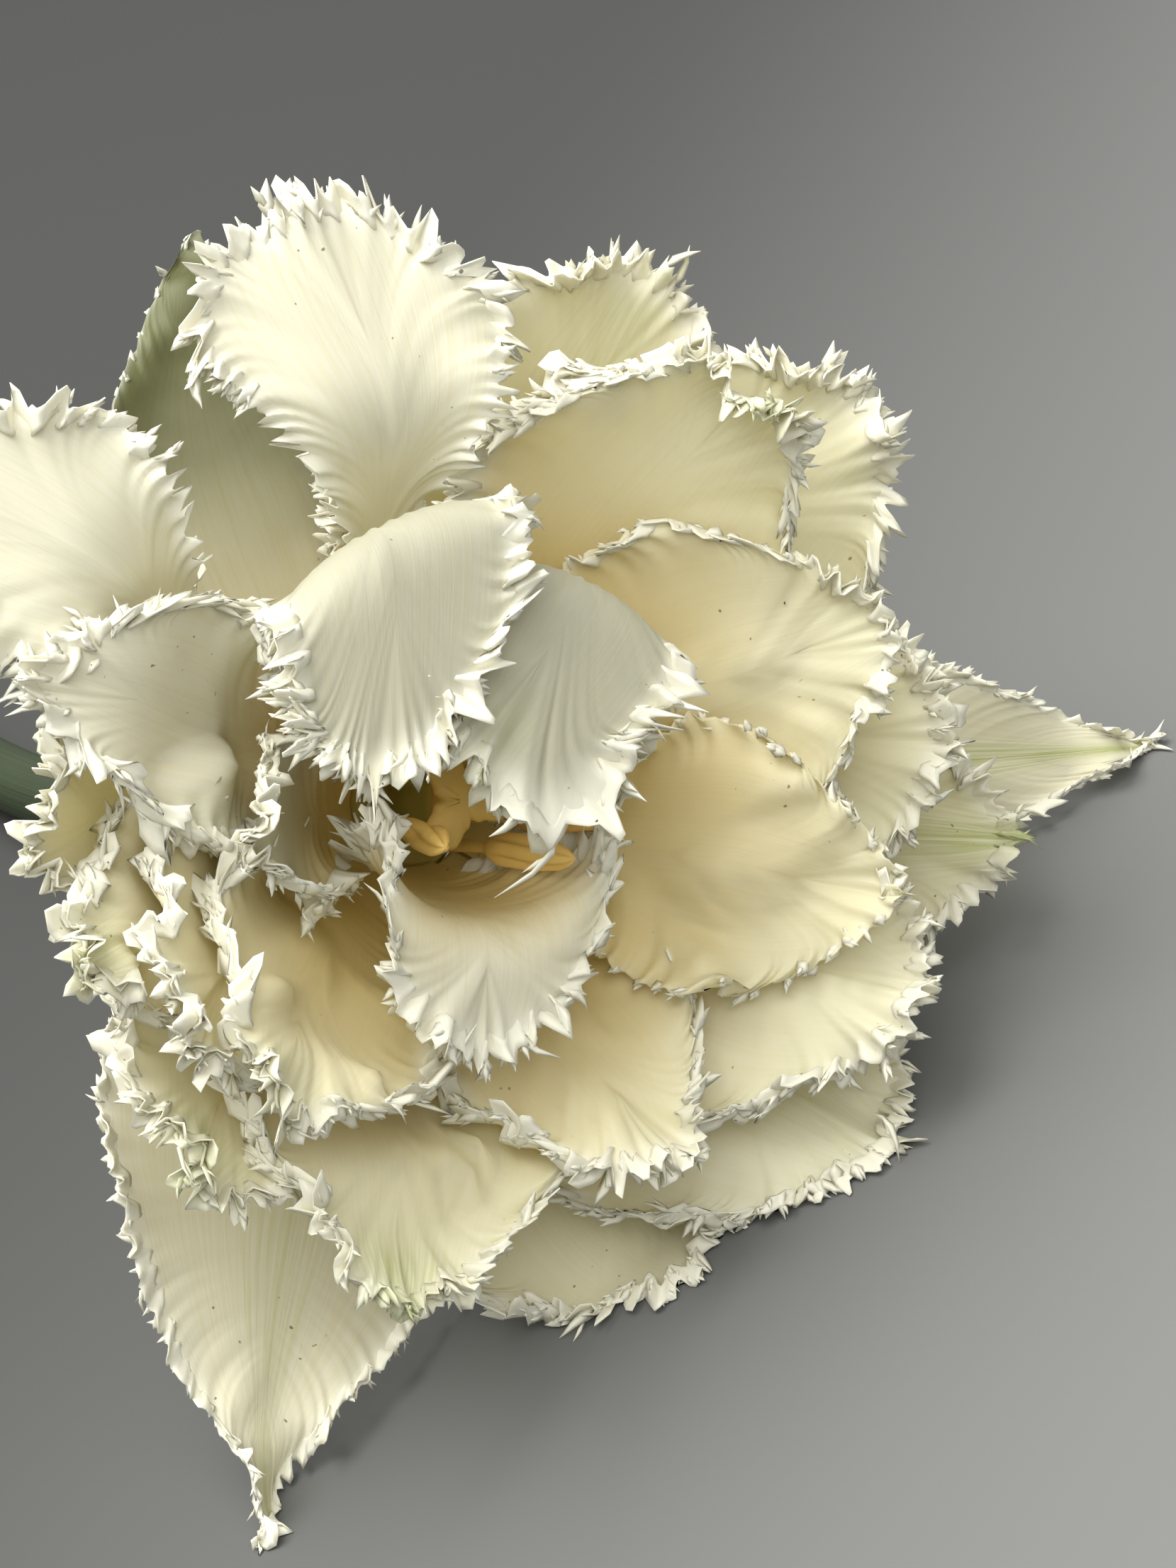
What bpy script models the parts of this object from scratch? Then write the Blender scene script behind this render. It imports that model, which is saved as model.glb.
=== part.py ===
"""A double fringed tulip, cut and laid down: petals in their whorls, stamens, pistil and stem.

Lengths below are in millimetres and angles in degrees; each mesh is scaled to metres as it is made.
The bloom is worked out in a frame of its own: its axis is Z, its receptacle's base is the origin, and
azimuth runs round the axis. At the end it is laid on its side, with its stem running back to the surface.
"""
import math
from dataclasses import dataclass

import bmesh
import bpy
import numpy as np

MM = 0.001

# How the cut flower lies on the surface, z = 0
PITCH = 20.0                  # how far the bloom's axis points up
UP_AZIMUTH = 128.0            # azimuth of the bloom that is uppermost
BLOOM_AT = (2.0, 35.5, 39.0)  # base of the receptacle

# Stem: the receptacle is its swollen top
STEM_RADIUS = 4.2
STEM_STRAIGHT = 62.0
STEM_BEND = 90.0
STEM_LYING = 62.0
STEM_SIDES = 14
STEM_STEP = 9.0
STEM_SIDEWAYS = 9.0
CUT_SLANT = 0.25
RECEPTACLE_SWELL = 16.0       # length of the swelling below the petals' feet
SWELL_PROFILE = ((3.0, 3.8), (7.0, 2.0), (RECEPTACLE_SWELL, 0.4))   # depth, and radius over the stem's
STEM_JOIN = 5.0               # free run between the swelling and the stem's next ring

# Feet of the petals climb the receptacle whorl by whorl
FOOT_RADIUS = 9.6
FOOT_RADIUS_STEP = 0.45
FOOT_RISE_STEP = 1.3
NECK_SHARE = 0.45             # half the neck's width for the foot's radius
SEAT_GAP = 0.3
WHORLS = 9
RECEPTACLE_TOP = FOOT_RISE_STEP * (WHORLS - 1) + 0.5

# Outline of the petals
PETAL_THICKNESS = 0.7
WIDEST_AT = 0.66
SHARP_IS_WIDE_EARLIER = 0.24
ROUND_END, SHARP_END = 0.55, 0.03          # width left at the tip for the widest
CORNER_CUT, CORNER_ACROSS, CORNER_ALONG = 0.3, 2.4, 1.5
PETAL_ROWS = 11
PETAL_COLUMNS = 11
SPINE_POINTS = 121
NARROWEST_TURN = 6.0          # least distance from the axis at which width is turned into azimuth

# Waves of the blades
WAVE_TO_MARGIN = 2.5          # power with which the side waves grow towards the margins
SIDE_FROM, SIDE_RUN = 0.2, 0.5
TOP_FROM, TOP_RUN = 0.5, 0.55
TOP_WAVES, TOP_SHARE = 1.1, 0.8
BEYOND_MARGIN = 1.4           # the form is carried this far past the margins
NEAR_FOOT = 10.0              # waves keep this reach's angle nearer the foot

# Fringe: each segment of the rim rises to one tooth
TOOTH_LENGTH = 3.2
TOOTH_SHAPE = 1.1             # longest tooth for the width of its root
TOOTH_SPREAD = (0.7, 1.1)
TOOTH_SLIP = 0.3
TOOTH_TILT = 0.12
TOOTHLESS_ROWS = 2

# Table of angles on which the petals are laid inside one another
AZIMUTH_STEP = 3.0
REACH_STEP = 2.5
REACH_MAX = 95.0
PETAL_GAP = 2.4
ROOM_FROM = 6.0
ROOM_RAMP = 20.0
SOFT_ANGLE = 1.5
EDGE_MARGIN = 1.25
EDGE_RELEASE = 90.0
END_MARGIN = 4.0
END_RELEASE = 6.0
CREASE_RUN = 4.0              # length of blade whose heading a bend starts from
BEND_POINTS = 200

# Pistil: share of its height, radius and depth of its three lobes
PISTIL_HEIGHT = 13.0
PISTIL_PROFILE = (
    (0.0, 2.3, 0.06), (0.08, 2.9, 0.08), (0.45, 3.0, 0.08), (0.75, 2.1, 0.08),
    (0.84, 2.7, 0.3), (0.93, 3.4, 0.36), (1.0, 2.4, 0.36),
)
PISTIL_SIDES = 18

# Stamens: azimuth, and lean at the foot and at the tip
STAMENS = (
    (40, (10, 24)), (351, (12, 48)), (302, (8, 15)), (238, (8, 15)), (160, (8, 28)), (112, (8, 26)),
)
STAMEN_CIRCLE = 4.3
STAMEN_LENGTH = 20.0
STAMEN_SIDES = 8
STAMEN_PROFILE = (            # half the width and half the thickness, from filament to anther tip
    (0.7, 0.6), (0.7, 0.6), (0.6, 0.5), (0.6, 0.5),
    (1.3, 0.9), (1.5, 1.0), (1.5, 1.0), (1.3, 0.9), (0.6, 0.5),
)


@dataclass(frozen=True)
class Petal:
    """One petal: where it grows, how it leans along its length, and how wide it is."""
    name: str
    whorl: int
    azimuth: float
    length: float
    half_width: float
    lean: tuple               # from the axis, at the foot, half way and at the tip
    point: float = 0.0        # 0 a round tip, 1 a sharp one
    taper: float = 1.2        # how fast it narrows past its widest
    flare: float = 1.3        # how late it widens
    widest: float = WIDEST_AT
    edge: float = 0.0         # how far the margins stand out (+) or in (-)
    twist: float = 0.0        # how far one margin stands out and the other in
    sweep: float = 0.0        # how far the tip is carried round the bloom
    wave: float = 1.6
    waves: float = 3.0
    phase: float = 0.0
    crease: float = 1.0       # share of the length at which it bends over
    turn: float = 0.0         # how far it bends over, outwards (+) or inwards (-)
    bend: float = 8.0         # length of the bend
    swing: float = 0.0        # how far the bend is turned aside


PETALS = (
    Petal("tepal_right", 0, 5, 76, 15, (72, 84, 80), point=1, taper=1.5),
    Petal("tepal_lower", 0, 254, 62, 22, (72, 85, 77), point=1, sweep=5, taper=2.2),
    Petal("tepal_upper", 0, 122, 48, 23, (72, 86, 84), point=1, sweep=-12, taper=1.6),
    Petal("petal_b_top", 1, 67, 49, 22, (72, 70, 62)),
    Petal("petal_b_left", 1, 184, 44, 19, (64, 54, 46)),
    Petal("petal_b_low", 1, 302, 51, 23, (72, 70, 64), wave=2.2),
    Petal("petal_c_right", 2, -3, 54, 16, (70, 70, 66)),
    Petal("petal_c_fan", 2, 151, 57, 12.5, (56, 48, 42), crease=0.64, turn=58, flare=3.5, widest=0.9),
    Petal("petal_c_low", 2, 230, 42, 21, (62, 52, 46)),
    Petal("petal_d_top", 3, 44, 53, 22, (66, 64, 50)),
    Petal("petal_d_left", 3, 201.5, 42, 10.5, (60, 50, 44)),
    Petal("petal_d_low", 3, 322, 51, 22, (66, 64, 56)),
    Petal("petal_e_fan", 4, 108, 59, 14.5, (48, 40, 36), crease=0.6, turn=65, flare=3.5, widest=0.9),
    Petal("petal_e_low", 4, 259, 45, 18, (60, 56, 50)),
    Petal("petal_e_right", 4, 10, 47, 21, (62, 60, 46)),
    Petal("petal_f_left", 5, 213, 40, 14.5, (52, 46, 40)),
    Petal("petal_f_right", 5, 336, 47, 20, (58, 58, 46)),
    Petal("petal_f_top", 5, 57, 50, 16, (58, 54, 44), crease=0.84, turn=-75, bend=8),
    Petal("petal_g_low", 6, 298, 38, 13, (61, 54, 46)),
    Petal("petal_g_side", 6, 166, 43, 11, (54, 51, 47), edge=2.5, twist=2.5),
    Petal("petal_g_right", 6, 24, 44, 17, (54, 54, 42)),
    Petal("petal_h_low", 7, 229, 38, 14, (54, 46, 42)),
    Petal("petal_h_hood", 7, 120, 55.5, 12, (46, 36, 26), crease=0.53, turn=-125, bend=10, swing=-28),
    Petal("petal_h_right", 7, 348, 42, 13, (60, 60, 50), wave=1),
    Petal("petal_i_left", 8, 188, 30, 8.5, (44, 38, 28), edge=-2),
    Petal("petal_i_hood", 8, 70, 49, 12, (42, 32, 24), crease=0.49, turn=-122, bend=10, swing=-15),
    Petal("petal_i_low", 8, 268, 33, 12.5, (20, 14, 8), crease=0.54, turn=88, bend=7),
    Petal("petal_i_small", 8, 10, 19, 4, (44, 38, 28), wave=0.6),
)


def foot(petal):
    """Radius and height of the petal's foot on the receptacle."""
    return FOOT_RADIUS - FOOT_RADIUS_STEP * petal.whorl, FOOT_RISE_STEP * petal.whorl


def lean_along(petal, share):
    """Lean of the spine from the bloom's axis: the parabola through the petal's three leans."""
    start, middle, end = petal.lean
    return start + (4 * middle - 3 * start - end) * share + (2 * start + 2 * end - 4 * middle) * share ** 2


def walked(angle, step):
    """Distance out and up along a line that leans by the given angles, a step between each two."""
    out = np.concatenate([[0], np.cumsum((np.sin(angle[1:]) + np.sin(angle[:-1])) / 2 * step)])
    up = np.concatenate([[0], np.cumsum((np.cos(angle[1:]) + np.cos(angle[:-1])) / 2 * step)])
    return out, up


def spine(petal):
    """Share of the length, reach from the foot and angle from the axis, along the unbent spine."""
    share = np.linspace(0, 1, SPINE_POINTS)
    out, up = walked(np.radians(lean_along(petal, share)), petal.length / (SPINE_POINTS - 1))
    angle = np.arctan2(out, up)
    angle[0] = angle[1]
    return share, np.hypot(out, up), angle


def half_width(petal, share):
    """Half the petal's width: a narrow foot, widest past the middle, then a round or a sharp tip."""
    widest = petal.widest - SHARP_IS_WIDE_EARLIER * petal.point
    swell = np.sin(np.pi / 2 * np.clip(share / widest, 0, 1)) ** petal.flare
    neck = NECK_SHARE * foot(petal)[0]
    lower = neck + (petal.half_width - neck) * swell
    past = np.clip((share - widest) / (1 - widest), 0, 1)
    blunt = ROUND_END * (1 - petal.point) + SHARP_END * petal.point
    upper = petal.half_width * (blunt + (1 - blunt) * np.cos(np.pi / 2 * past) ** petal.taper)
    return np.where(share < widest, lower, upper)


def ruffle(petal, share, across):
    """How far the blade stands off its plain form: waves down the sides and along the top, and its edges."""
    side = np.abs(across) ** WAVE_TO_MARGIN * np.clip((share - SIDE_FROM) / SIDE_RUN, 0, 1)
    side = side * np.sin(2 * np.pi * petal.waves * share + petal.phase + np.pi * (across > 0))
    top = np.sin(2 * np.pi * TOP_WAVES * across + petal.phase)
    top = top * np.clip((share - TOP_FROM) / TOP_RUN, 0, 1) ** 2
    stand = petal.edge * across ** 2 + petal.twist * across
    return petal.wave * (side + TOP_SHARE * top) + stand * share


class Layout:
    """Angle of every petal from the axis, over azimuth and reach, each laid inside those before it."""

    def __init__(self, petals):
        self.azimuth = np.arange(0, 360, AZIMUTH_STEP)
        self.reach = np.arange(0, REACH_MAX, REACH_STEP)
        self.angle = {}
        self.hold = {}
        for petal in petals:
            wanted, self.hold[petal.name] = self.wanted(petal)
            for other in petals[:petals.index(petal)]:
                wanted = self.kept_inside(wanted, petal, other)
            self.angle[petal.name] = wanted

    def wanted(self, petal):
        """Angles the petal would have alone, and how little hold it has beyond its own margins."""
        share_line, reach_line, angle_line = spine(petal)
        share = np.interp(self.reach, reach_line, share_line)
        plain = np.interp(self.reach, reach_line, angle_line)
        out = foot(petal)[0] + self.reach * np.sin(plain)
        middle = petal.azimuth + petal.sweep * share ** 2
        turn = (self.azimuth[:, None] - middle[None, :] + 180) % 360 - 180
        across = np.radians(turn) * out[None, :] / half_width(petal, share)[None, :]
        lift = ruffle(petal, share[None, :], np.clip(across, -BEYOND_MARGIN, BEYOND_MARGIN))
        wanted = plain[None, :] + lift / np.maximum(self.reach, NEAR_FOOT)[None, :]
        end = np.interp(min(1.0, petal.crease), share_line, reach_line) + END_MARGIN
        hold = np.radians(EDGE_RELEASE) * np.clip(np.abs(across) - EDGE_MARGIN, 0, None)
        return wanted, hold + np.clip(self.reach - end, 0, None)[None, :] / END_RELEASE

    def kept_inside(self, wanted, petal, other):
        """The wanted angles, eased down where they would come too near an outer petal."""
        room = max(0.0, PETAL_GAP - FOOT_RISE_STEP * (petal.whorl - other.whorl))
        ramp = np.clip((self.reach - ROOM_FROM) / ROOM_RAMP, 0, 1)
        ceiling = self.angle[other.name] + self.hold[other.name]
        ceiling = ceiling - (room * ramp / np.maximum(self.reach, 1.0))[None, :]
        soft = math.radians(SOFT_ANGLE)
        return ceiling - soft * np.logaddexp(0.0, (ceiling - wanted) / soft)

    def read(self, petal, azimuth, reach):
        """The petal's angle at any azimuth and reach, read between the table's points."""
        table = self.angle[petal.name]
        a = azimuth / AZIMUTH_STEP
        b = np.clip(reach / REACH_STEP, 0, len(self.reach) - 1.001)
        a_low, b_low = np.floor(a).astype(int), np.floor(b).astype(int)
        a_part, b_part = a - a_low, b - b_low
        near, far = a_low % len(self.azimuth), (a_low + 1) % len(self.azimuth)
        low = table[near, b_low] * (1 - a_part) + table[far, b_low] * a_part
        high = table[near, b_low + 1] * (1 - a_part) + table[far, b_low + 1] * a_part
        return low * (1 - b_part) + high * b_part

    def point(self, petal, azimuth, reach):
        """Point of the laid petal, and its distance from the axis."""
        angle = self.read(petal, azimuth, reach)
        foot_radius, foot_height = foot(petal)
        out = foot_radius + reach * np.sin(angle)
        up = foot_height + reach * np.cos(angle)
        turn = np.radians(azimuth)
        return np.stack([out * np.cos(turn), out * np.sin(turn), up], axis=-1), out


def bent_over(layout, petal, edge_reach, past):
    """Offset of points that lie past the crease: an arc, then a straight run, in one upright plane."""
    spots = np.array([petal.azimuth, petal.azimuth], dtype=float)
    inner, outer = layout.point(petal, spots, np.array([edge_reach - CREASE_RUN, edge_reach]))[0]
    radial = np.array([math.cos(math.radians(petal.azimuth)), math.sin(math.radians(petal.azimuth)), 0.0])
    start = math.atan2((outer - inner) @ radial, (outer - inner)[2])
    run = np.linspace(0, petal.length, BEND_POINTS)
    out, up = walked(start + math.radians(petal.turn) * np.clip(run / petal.bend, 0, 1), run[1])
    aside = math.radians(petal.azimuth + petal.swing)
    over = np.array([math.cos(aside), math.sin(aside), 0.0])
    upright = np.array([0.0, 0.0, 1.0])
    return np.interp(past, run, out)[..., None] * over + np.interp(past, run, up)[..., None] * upright


def petal_surface(layout, petal, along, across):
    """Middle surface of a petal; along runs 0 to 1 from foot to tip, across -1 to 1."""
    cut = CORNER_CUT * (1 - petal.point) * np.abs(across) ** CORNER_ACROSS * along ** CORNER_ALONG
    share = along * (1 - cut)
    share_line, reach_line, _ = spine(petal)
    sheet = np.minimum(share, petal.crease)
    reach = np.interp(sheet, share_line, reach_line)
    middle = petal.azimuth + petal.sweep * sheet ** 2
    out = layout.point(petal, middle, reach)[1]
    azimuth = middle + np.degrees(across * half_width(petal, share) / np.maximum(out, NARROWEST_TURN))
    point = layout.point(petal, azimuth, reach)[0]
    if petal.turn:
        edge_reach = float(np.interp(petal.crease, share_line, reach_line))
        past = np.clip(share - petal.crease, 0, 1) * petal.length
        point = point + bent_over(layout, petal, edge_reach, past)
    return point


def laid_down(points):
    """Points of the bloom's frame carried to where the cut flower lies."""
    pitch, up = math.radians(PITCH), math.radians(UP_AZIMUTH)
    upmost = points[..., 0] * math.cos(up) + points[..., 1] * math.sin(up)
    sideways = points[..., 0] * math.sin(up) - points[..., 1] * math.cos(up)
    along = points[..., 2]
    x = sideways
    y = upmost * math.sin(pitch) - along * math.cos(pitch)
    z = upmost * math.cos(pitch) + along * math.sin(pitch)
    return np.stack([x, y, z], axis=-1) + np.array(BLOOM_AT)


def blade(points, seed):
    """Vertices and faces of a closed blade: two like faces, and a rim whose segments rise to teeth."""
    rows, columns = points.shape[:2]
    normal = np.cross(np.gradient(points, axis=0), np.gradient(points, axis=1))
    normal /= np.linalg.norm(normal, axis=-1, keepdims=True)
    middle, normal = points.reshape(-1, 3), normal.reshape(-1, 3)
    verts = list(middle + normal * PETAL_THICKNESS / 2) + list(middle - normal * PETAL_THICKNESS / 2)
    count = rows * columns
    faces = []
    for i in range(rows - 1):
        for j in range(columns - 1):
            a, b = i * columns + j, i * columns + j + 1
            d, c = a + columns, b + columns
            faces += [(a, d, c), (a, c, b)]
            faces += [(a + count, c + count, d + count), (a + count, b + count, c + count)]
    rim = [i * columns for i in range(rows)] + [(rows - 1) * columns + j for j in range(1, columns)]
    rim += [i * columns + columns - 1 for i in range(rows - 2, -1, -1)]
    rng = np.random.default_rng(seed)
    for p, q in zip(rim[:-1], rim[1:]):
        row = min(p // columns, q // columns)
        if row < TOOTHLESS_ROWS:
            faces += [(p, q, q + count), (p, q + count, p + count)]
            continue
        run = middle[q] - middle[p]
        lift = normal[p] + normal[q]
        out = np.cross(run, lift)
        out /= np.linalg.norm(out)
        inside = middle[min(row, rows - 3) * columns + columns // 2]
        root = (middle[p] + middle[q]) / 2
        out = out if out @ (root - inside) > 0 else -out
        length = min(TOOTH_LENGTH, TOOTH_SHAPE * np.linalg.norm(run)) * rng.uniform(*TOOTH_SPREAD)
        slip, tilt = rng.uniform(-TOOTH_SLIP, TOOTH_SLIP), rng.uniform(-TOOTH_TILT, TOOTH_TILT)
        apex = root + out * length + run * slip + lift * length * tilt
        verts.append(apex)
        ring = (p, q, q + count, p + count)
        faces += [(ring[m], ring[(m + 1) % 4], len(verts) - 1) for m in range(4)]
    for p in range(columns - 1):
        faces += [(p + 1, p, p + count), (p + 1, p + count, p + 1 + count)]
    return np.array(verts), faces


def tube(centres, rings):
    """Vertices and faces of a closed tube: one ring of points round each centre, and two end fans."""
    count = rings.shape[1]
    verts = np.concatenate([rings.reshape(-1, 3), centres[[0, -1]]])
    first, last = len(verts) - 2, len(verts) - 1
    faces = []
    for j in range(count):
        k = (j + 1) % count
        faces.append((first, k, j))
        for i in range(len(rings) - 1):
            a, b = i * count + j, i * count + k
            faces += [(a, b, b + count), (a, b + count, a + count)]
        top = (len(rings) - 1) * count
        faces.append((last, top + j, top + k))
    return verts, faces


def rings_along(path, wide, thick, across, sides, phase=0.0):
    """A ring of points square to the path at each of its points; across is a direction off the path."""
    heading = np.gradient(path, axis=0)
    heading /= np.linalg.norm(heading, axis=1, keepdims=True)
    side = np.cross(heading, across)
    side /= np.linalg.norm(side, axis=1, keepdims=True)
    other = np.cross(side, heading)
    turn = np.linspace(0, 2 * np.pi, sides, endpoint=False) + phase
    return path[:, None, :] + (side[:, None, :] * (wide[:, None] * np.cos(turn))[..., None]
                               + other[:, None, :] * (thick[:, None] * np.sin(turn))[..., None])


def material(name, colour, roughness):
    """A plain matte material of one colour."""
    made = bpy.data.materials.new(name)
    made.use_nodes = True
    shader = made.node_tree.nodes["Principled BSDF"]
    shader.inputs["Base Color"].default_value = (*colour, 1)
    shader.inputs["Roughness"].default_value = roughness
    shader.inputs["Metallic"].default_value = 0
    made.diffuse_color = (*colour, 1)
    return made


def add_object(name, verts, faces, finish):
    """One named object whose mesh holds the points, in metres, with its faces pointing outwards."""
    mesh = bpy.data.meshes.new(name)
    mesh.from_pydata([tuple(point) for point in verts * MM], [], faces)
    mesh.materials.append(finish)
    sheet = bmesh.new()
    sheet.from_mesh(mesh)
    bmesh.ops.recalc_face_normals(sheet, faces=sheet.faces)
    sheet.to_mesh(mesh)
    sheet.free()
    mesh.shade_smooth()
    bpy.context.scene.collection.objects.link(bpy.data.objects.new(name, mesh))


def add_petals(layout, finish):
    """Every petal as a blade of its own; what would sink below the surface lies flat on it."""
    along, across = np.meshgrid(
        np.linspace(0, 1, PETAL_ROWS), np.linspace(-1, 1, PETAL_COLUMNS), indexing="ij")
    for seed, petal in enumerate(PETALS):
        middle = laid_down(petal_surface(layout, petal, along, across))
        middle[..., 2] = np.maximum(middle[..., 2], PETAL_THICKNESS / 2)
        verts, faces = blade(middle, seed)
        verts[:, 2] = np.maximum(verts[:, 2], 0.0)
        add_object(petal.name, verts, faces, finish)


def on_axis(heights):
    """Points on the bloom's axis at the given heights."""
    return np.stack([np.zeros(len(heights)), np.zeros(len(heights)), heights], axis=1)


def stem_path():
    """Centre line of the stem, from the receptacle's base down to the cut end lying on the surface."""
    run = np.arange(0, STEM_STRAIGHT + STEM_BEND + STEM_LYING, STEM_STEP)
    fall = math.radians(PITCH) * (1 - np.clip((run - STEM_STRAIGHT) / STEM_BEND, 0, 1))
    drop, along = walked(fall, STEM_STEP)
    rest = BLOOM_AT[2] - STEM_RADIUS * math.cos(math.pi / STEM_SIDES)
    path = np.stack([STEM_SIDEWAYS * (run / run[-1]) ** 3, along, -drop * rest / drop[-1]], axis=1)
    return path + np.array(BLOOM_AT)


def add_stem(finish):
    """Receptacle, its swelling and the stem as one turned body, with a slanting cut at the end."""
    depths, swell = np.array(SWELL_PROFILE).T
    heights = np.concatenate([[RECEPTACLE_TOP, RECEPTACLE_TOP / 2, 0.0], -depths])
    cone = FOOT_RADIUS - FOOT_RADIUS_STEP / FOOT_RISE_STEP * heights[:3] - PETAL_THICKNESS / 2 - SEAT_GAP
    path = stem_path()
    beyond = np.linalg.norm(path - np.array(BLOOM_AT), axis=1) > RECEPTACLE_SWELL + STEM_JOIN
    centres = np.concatenate([laid_down(on_axis(heights)), path[beyond]])
    radius = np.concatenate([cone, STEM_RADIUS + swell, np.full(beyond.sum(), STEM_RADIUS)])
    rings = rings_along(centres, radius, radius, np.array([1.0, 0.0, 0.0]), STEM_SIDES, math.pi / STEM_SIDES)
    rings[-1, :, 1] += CUT_SLANT * (rings[-1, :, 2] - centres[-1, 2])
    verts, faces = tube(centres, rings)
    add_object("stem", verts, faces, finish)


def add_pistil(finish):
    """Three-sided ovary with its lobed stigma, standing on the receptacle."""
    share, radius, lobes = np.array(PISTIL_PROFILE).T
    heights = RECEPTACLE_TOP + SEAT_GAP + PISTIL_HEIGHT * share
    turn = np.linspace(0, 2 * np.pi, PISTIL_SIDES, endpoint=False)
    shape = radius[:, None] * (1 + lobes[:, None] * np.cos(3 * turn)[None, :])
    rise = np.repeat(heights[:, None], PISTIL_SIDES, axis=1)
    rings = np.stack([shape * np.cos(turn), shape * np.sin(turn), rise], axis=-1)
    verts, faces = tube(laid_down(on_axis(heights)), laid_down(rings))
    add_object("pistil", verts, faces, finish)


def add_stamens(finish):
    """Stamens in a ring round the pistil: a thin filament that widens to a flat anther."""
    wide, thick = np.array(STAMEN_PROFILE).T
    for number, (azimuth, lean) in enumerate(STAMENS, start=1):
        angle = np.radians(np.linspace(*lean, len(wide)))
        out, up = walked(angle, STAMEN_LENGTH / (len(wide) - 1))
        out, up = out + STAMEN_CIRCLE, up + RECEPTACLE_TOP + SEAT_GAP
        radial = np.array([math.cos(math.radians(azimuth)), math.sin(math.radians(azimuth)), 0.0])
        path = out[:, None] * radial + on_axis(up)
        rings = rings_along(path, wide, thick, radial, STAMEN_SIDES)
        verts, faces = tube(laid_down(path), laid_down(rings))
        add_object(f"stamen_{number}", verts, faces, finish)


def main():
    """Clear the scene and make every piece of the flower."""
    for obj in list(bpy.data.objects):
        bpy.data.objects.remove(obj, do_unlink=True)
    add_petals(Layout(PETALS), material("petal_cream", (0.88, 0.86, 0.72), 0.6))
    add_stem(material("stem_green", (0.16, 0.27, 0.10), 0.5))
    add_pistil(material("pistil_green", (0.42, 0.43, 0.16), 0.5))
    add_stamens(material("stamen_gold", (0.75, 0.48, 0.12), 0.6))


main()
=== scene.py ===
"""Looks of a cut double fringed tulip, lying on a pale floor and seen from above its open bloom.

Lengths are in millimetres and angles in degrees unless a name says otherwise; meshes are scaled to metres
as they are made. The bloom is worked out in a frame of its own, whose Z is the bloom's axis and whose
origin is the base of the receptacle, and is then laid down with its stem.
"""
import logging
import math
from dataclasses import dataclass, field, fields
from enum import Enum

import bpy
import numpy as np
from mathutils import Matrix, Vector


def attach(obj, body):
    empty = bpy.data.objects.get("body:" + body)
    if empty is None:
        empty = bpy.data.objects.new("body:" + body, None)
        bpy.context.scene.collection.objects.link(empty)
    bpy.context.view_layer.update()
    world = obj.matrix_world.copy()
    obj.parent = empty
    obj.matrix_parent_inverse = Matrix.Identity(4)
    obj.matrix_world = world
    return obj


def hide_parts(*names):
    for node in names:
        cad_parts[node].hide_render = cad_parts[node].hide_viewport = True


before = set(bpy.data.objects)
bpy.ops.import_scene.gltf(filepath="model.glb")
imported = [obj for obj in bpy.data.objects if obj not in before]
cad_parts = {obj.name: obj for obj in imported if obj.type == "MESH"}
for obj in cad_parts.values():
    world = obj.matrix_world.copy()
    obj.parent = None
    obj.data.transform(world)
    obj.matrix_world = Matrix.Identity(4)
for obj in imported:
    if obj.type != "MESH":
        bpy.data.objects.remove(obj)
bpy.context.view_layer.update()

LOG = logging.getLogger("tulip")
MM = 0.001
ROOT = "root"
TINY = 1e-9  # keeps a division from meeting zero
UPRIGHT = np.array([0.0, 0.0, 1.0])

Array = np.ndarray
Draws = np.random.Generator
Triple = tuple[float, float, float]
Colour = Triple


# Helpers


def unit(vectors: Array) -> Array:
    """Vectors scaled to length one."""
    return vectors / np.maximum(np.linalg.norm(vectors, axis=-1, keepdims=True), TINY)


def compass(azimuth: float) -> Array:
    """Unit vector square to the bloom's axis, at an azimuth."""
    return np.array([math.cos(math.radians(azimuth)), math.sin(math.radians(azimuth)), 0.0])


def walked(angle: Array, step: float) -> tuple[Array, Array]:
    """Distances out and up at points of a line that leans by the given angles, in radians, from upright."""
    out, up = [np.concatenate([[0], np.cumsum((way[1:] + way[:-1]) / 2 * step)])
               for way in (np.sin(angle), np.cos(angle))]
    return out, up


def softened(value: Array, low: float, high: float) -> Array:
    """Smooth step from 0 at low to 1 at high."""
    t = np.clip((value - low) / (high - low), 0, 1)
    return t * t * (3 - 2 * t)


def carried(profile: tuple[tuple[float, ...], ...], count: int) -> list[Array]:
    """Evenly spaced shares of a length, and each further column of a profile read at them."""
    rows, fine = np.array(profile), np.linspace(0, 1, count)
    return [fine, *[np.interp(fine, rows[:, 0], column) for column in rows.T[1:]]]


# Meshes


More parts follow.
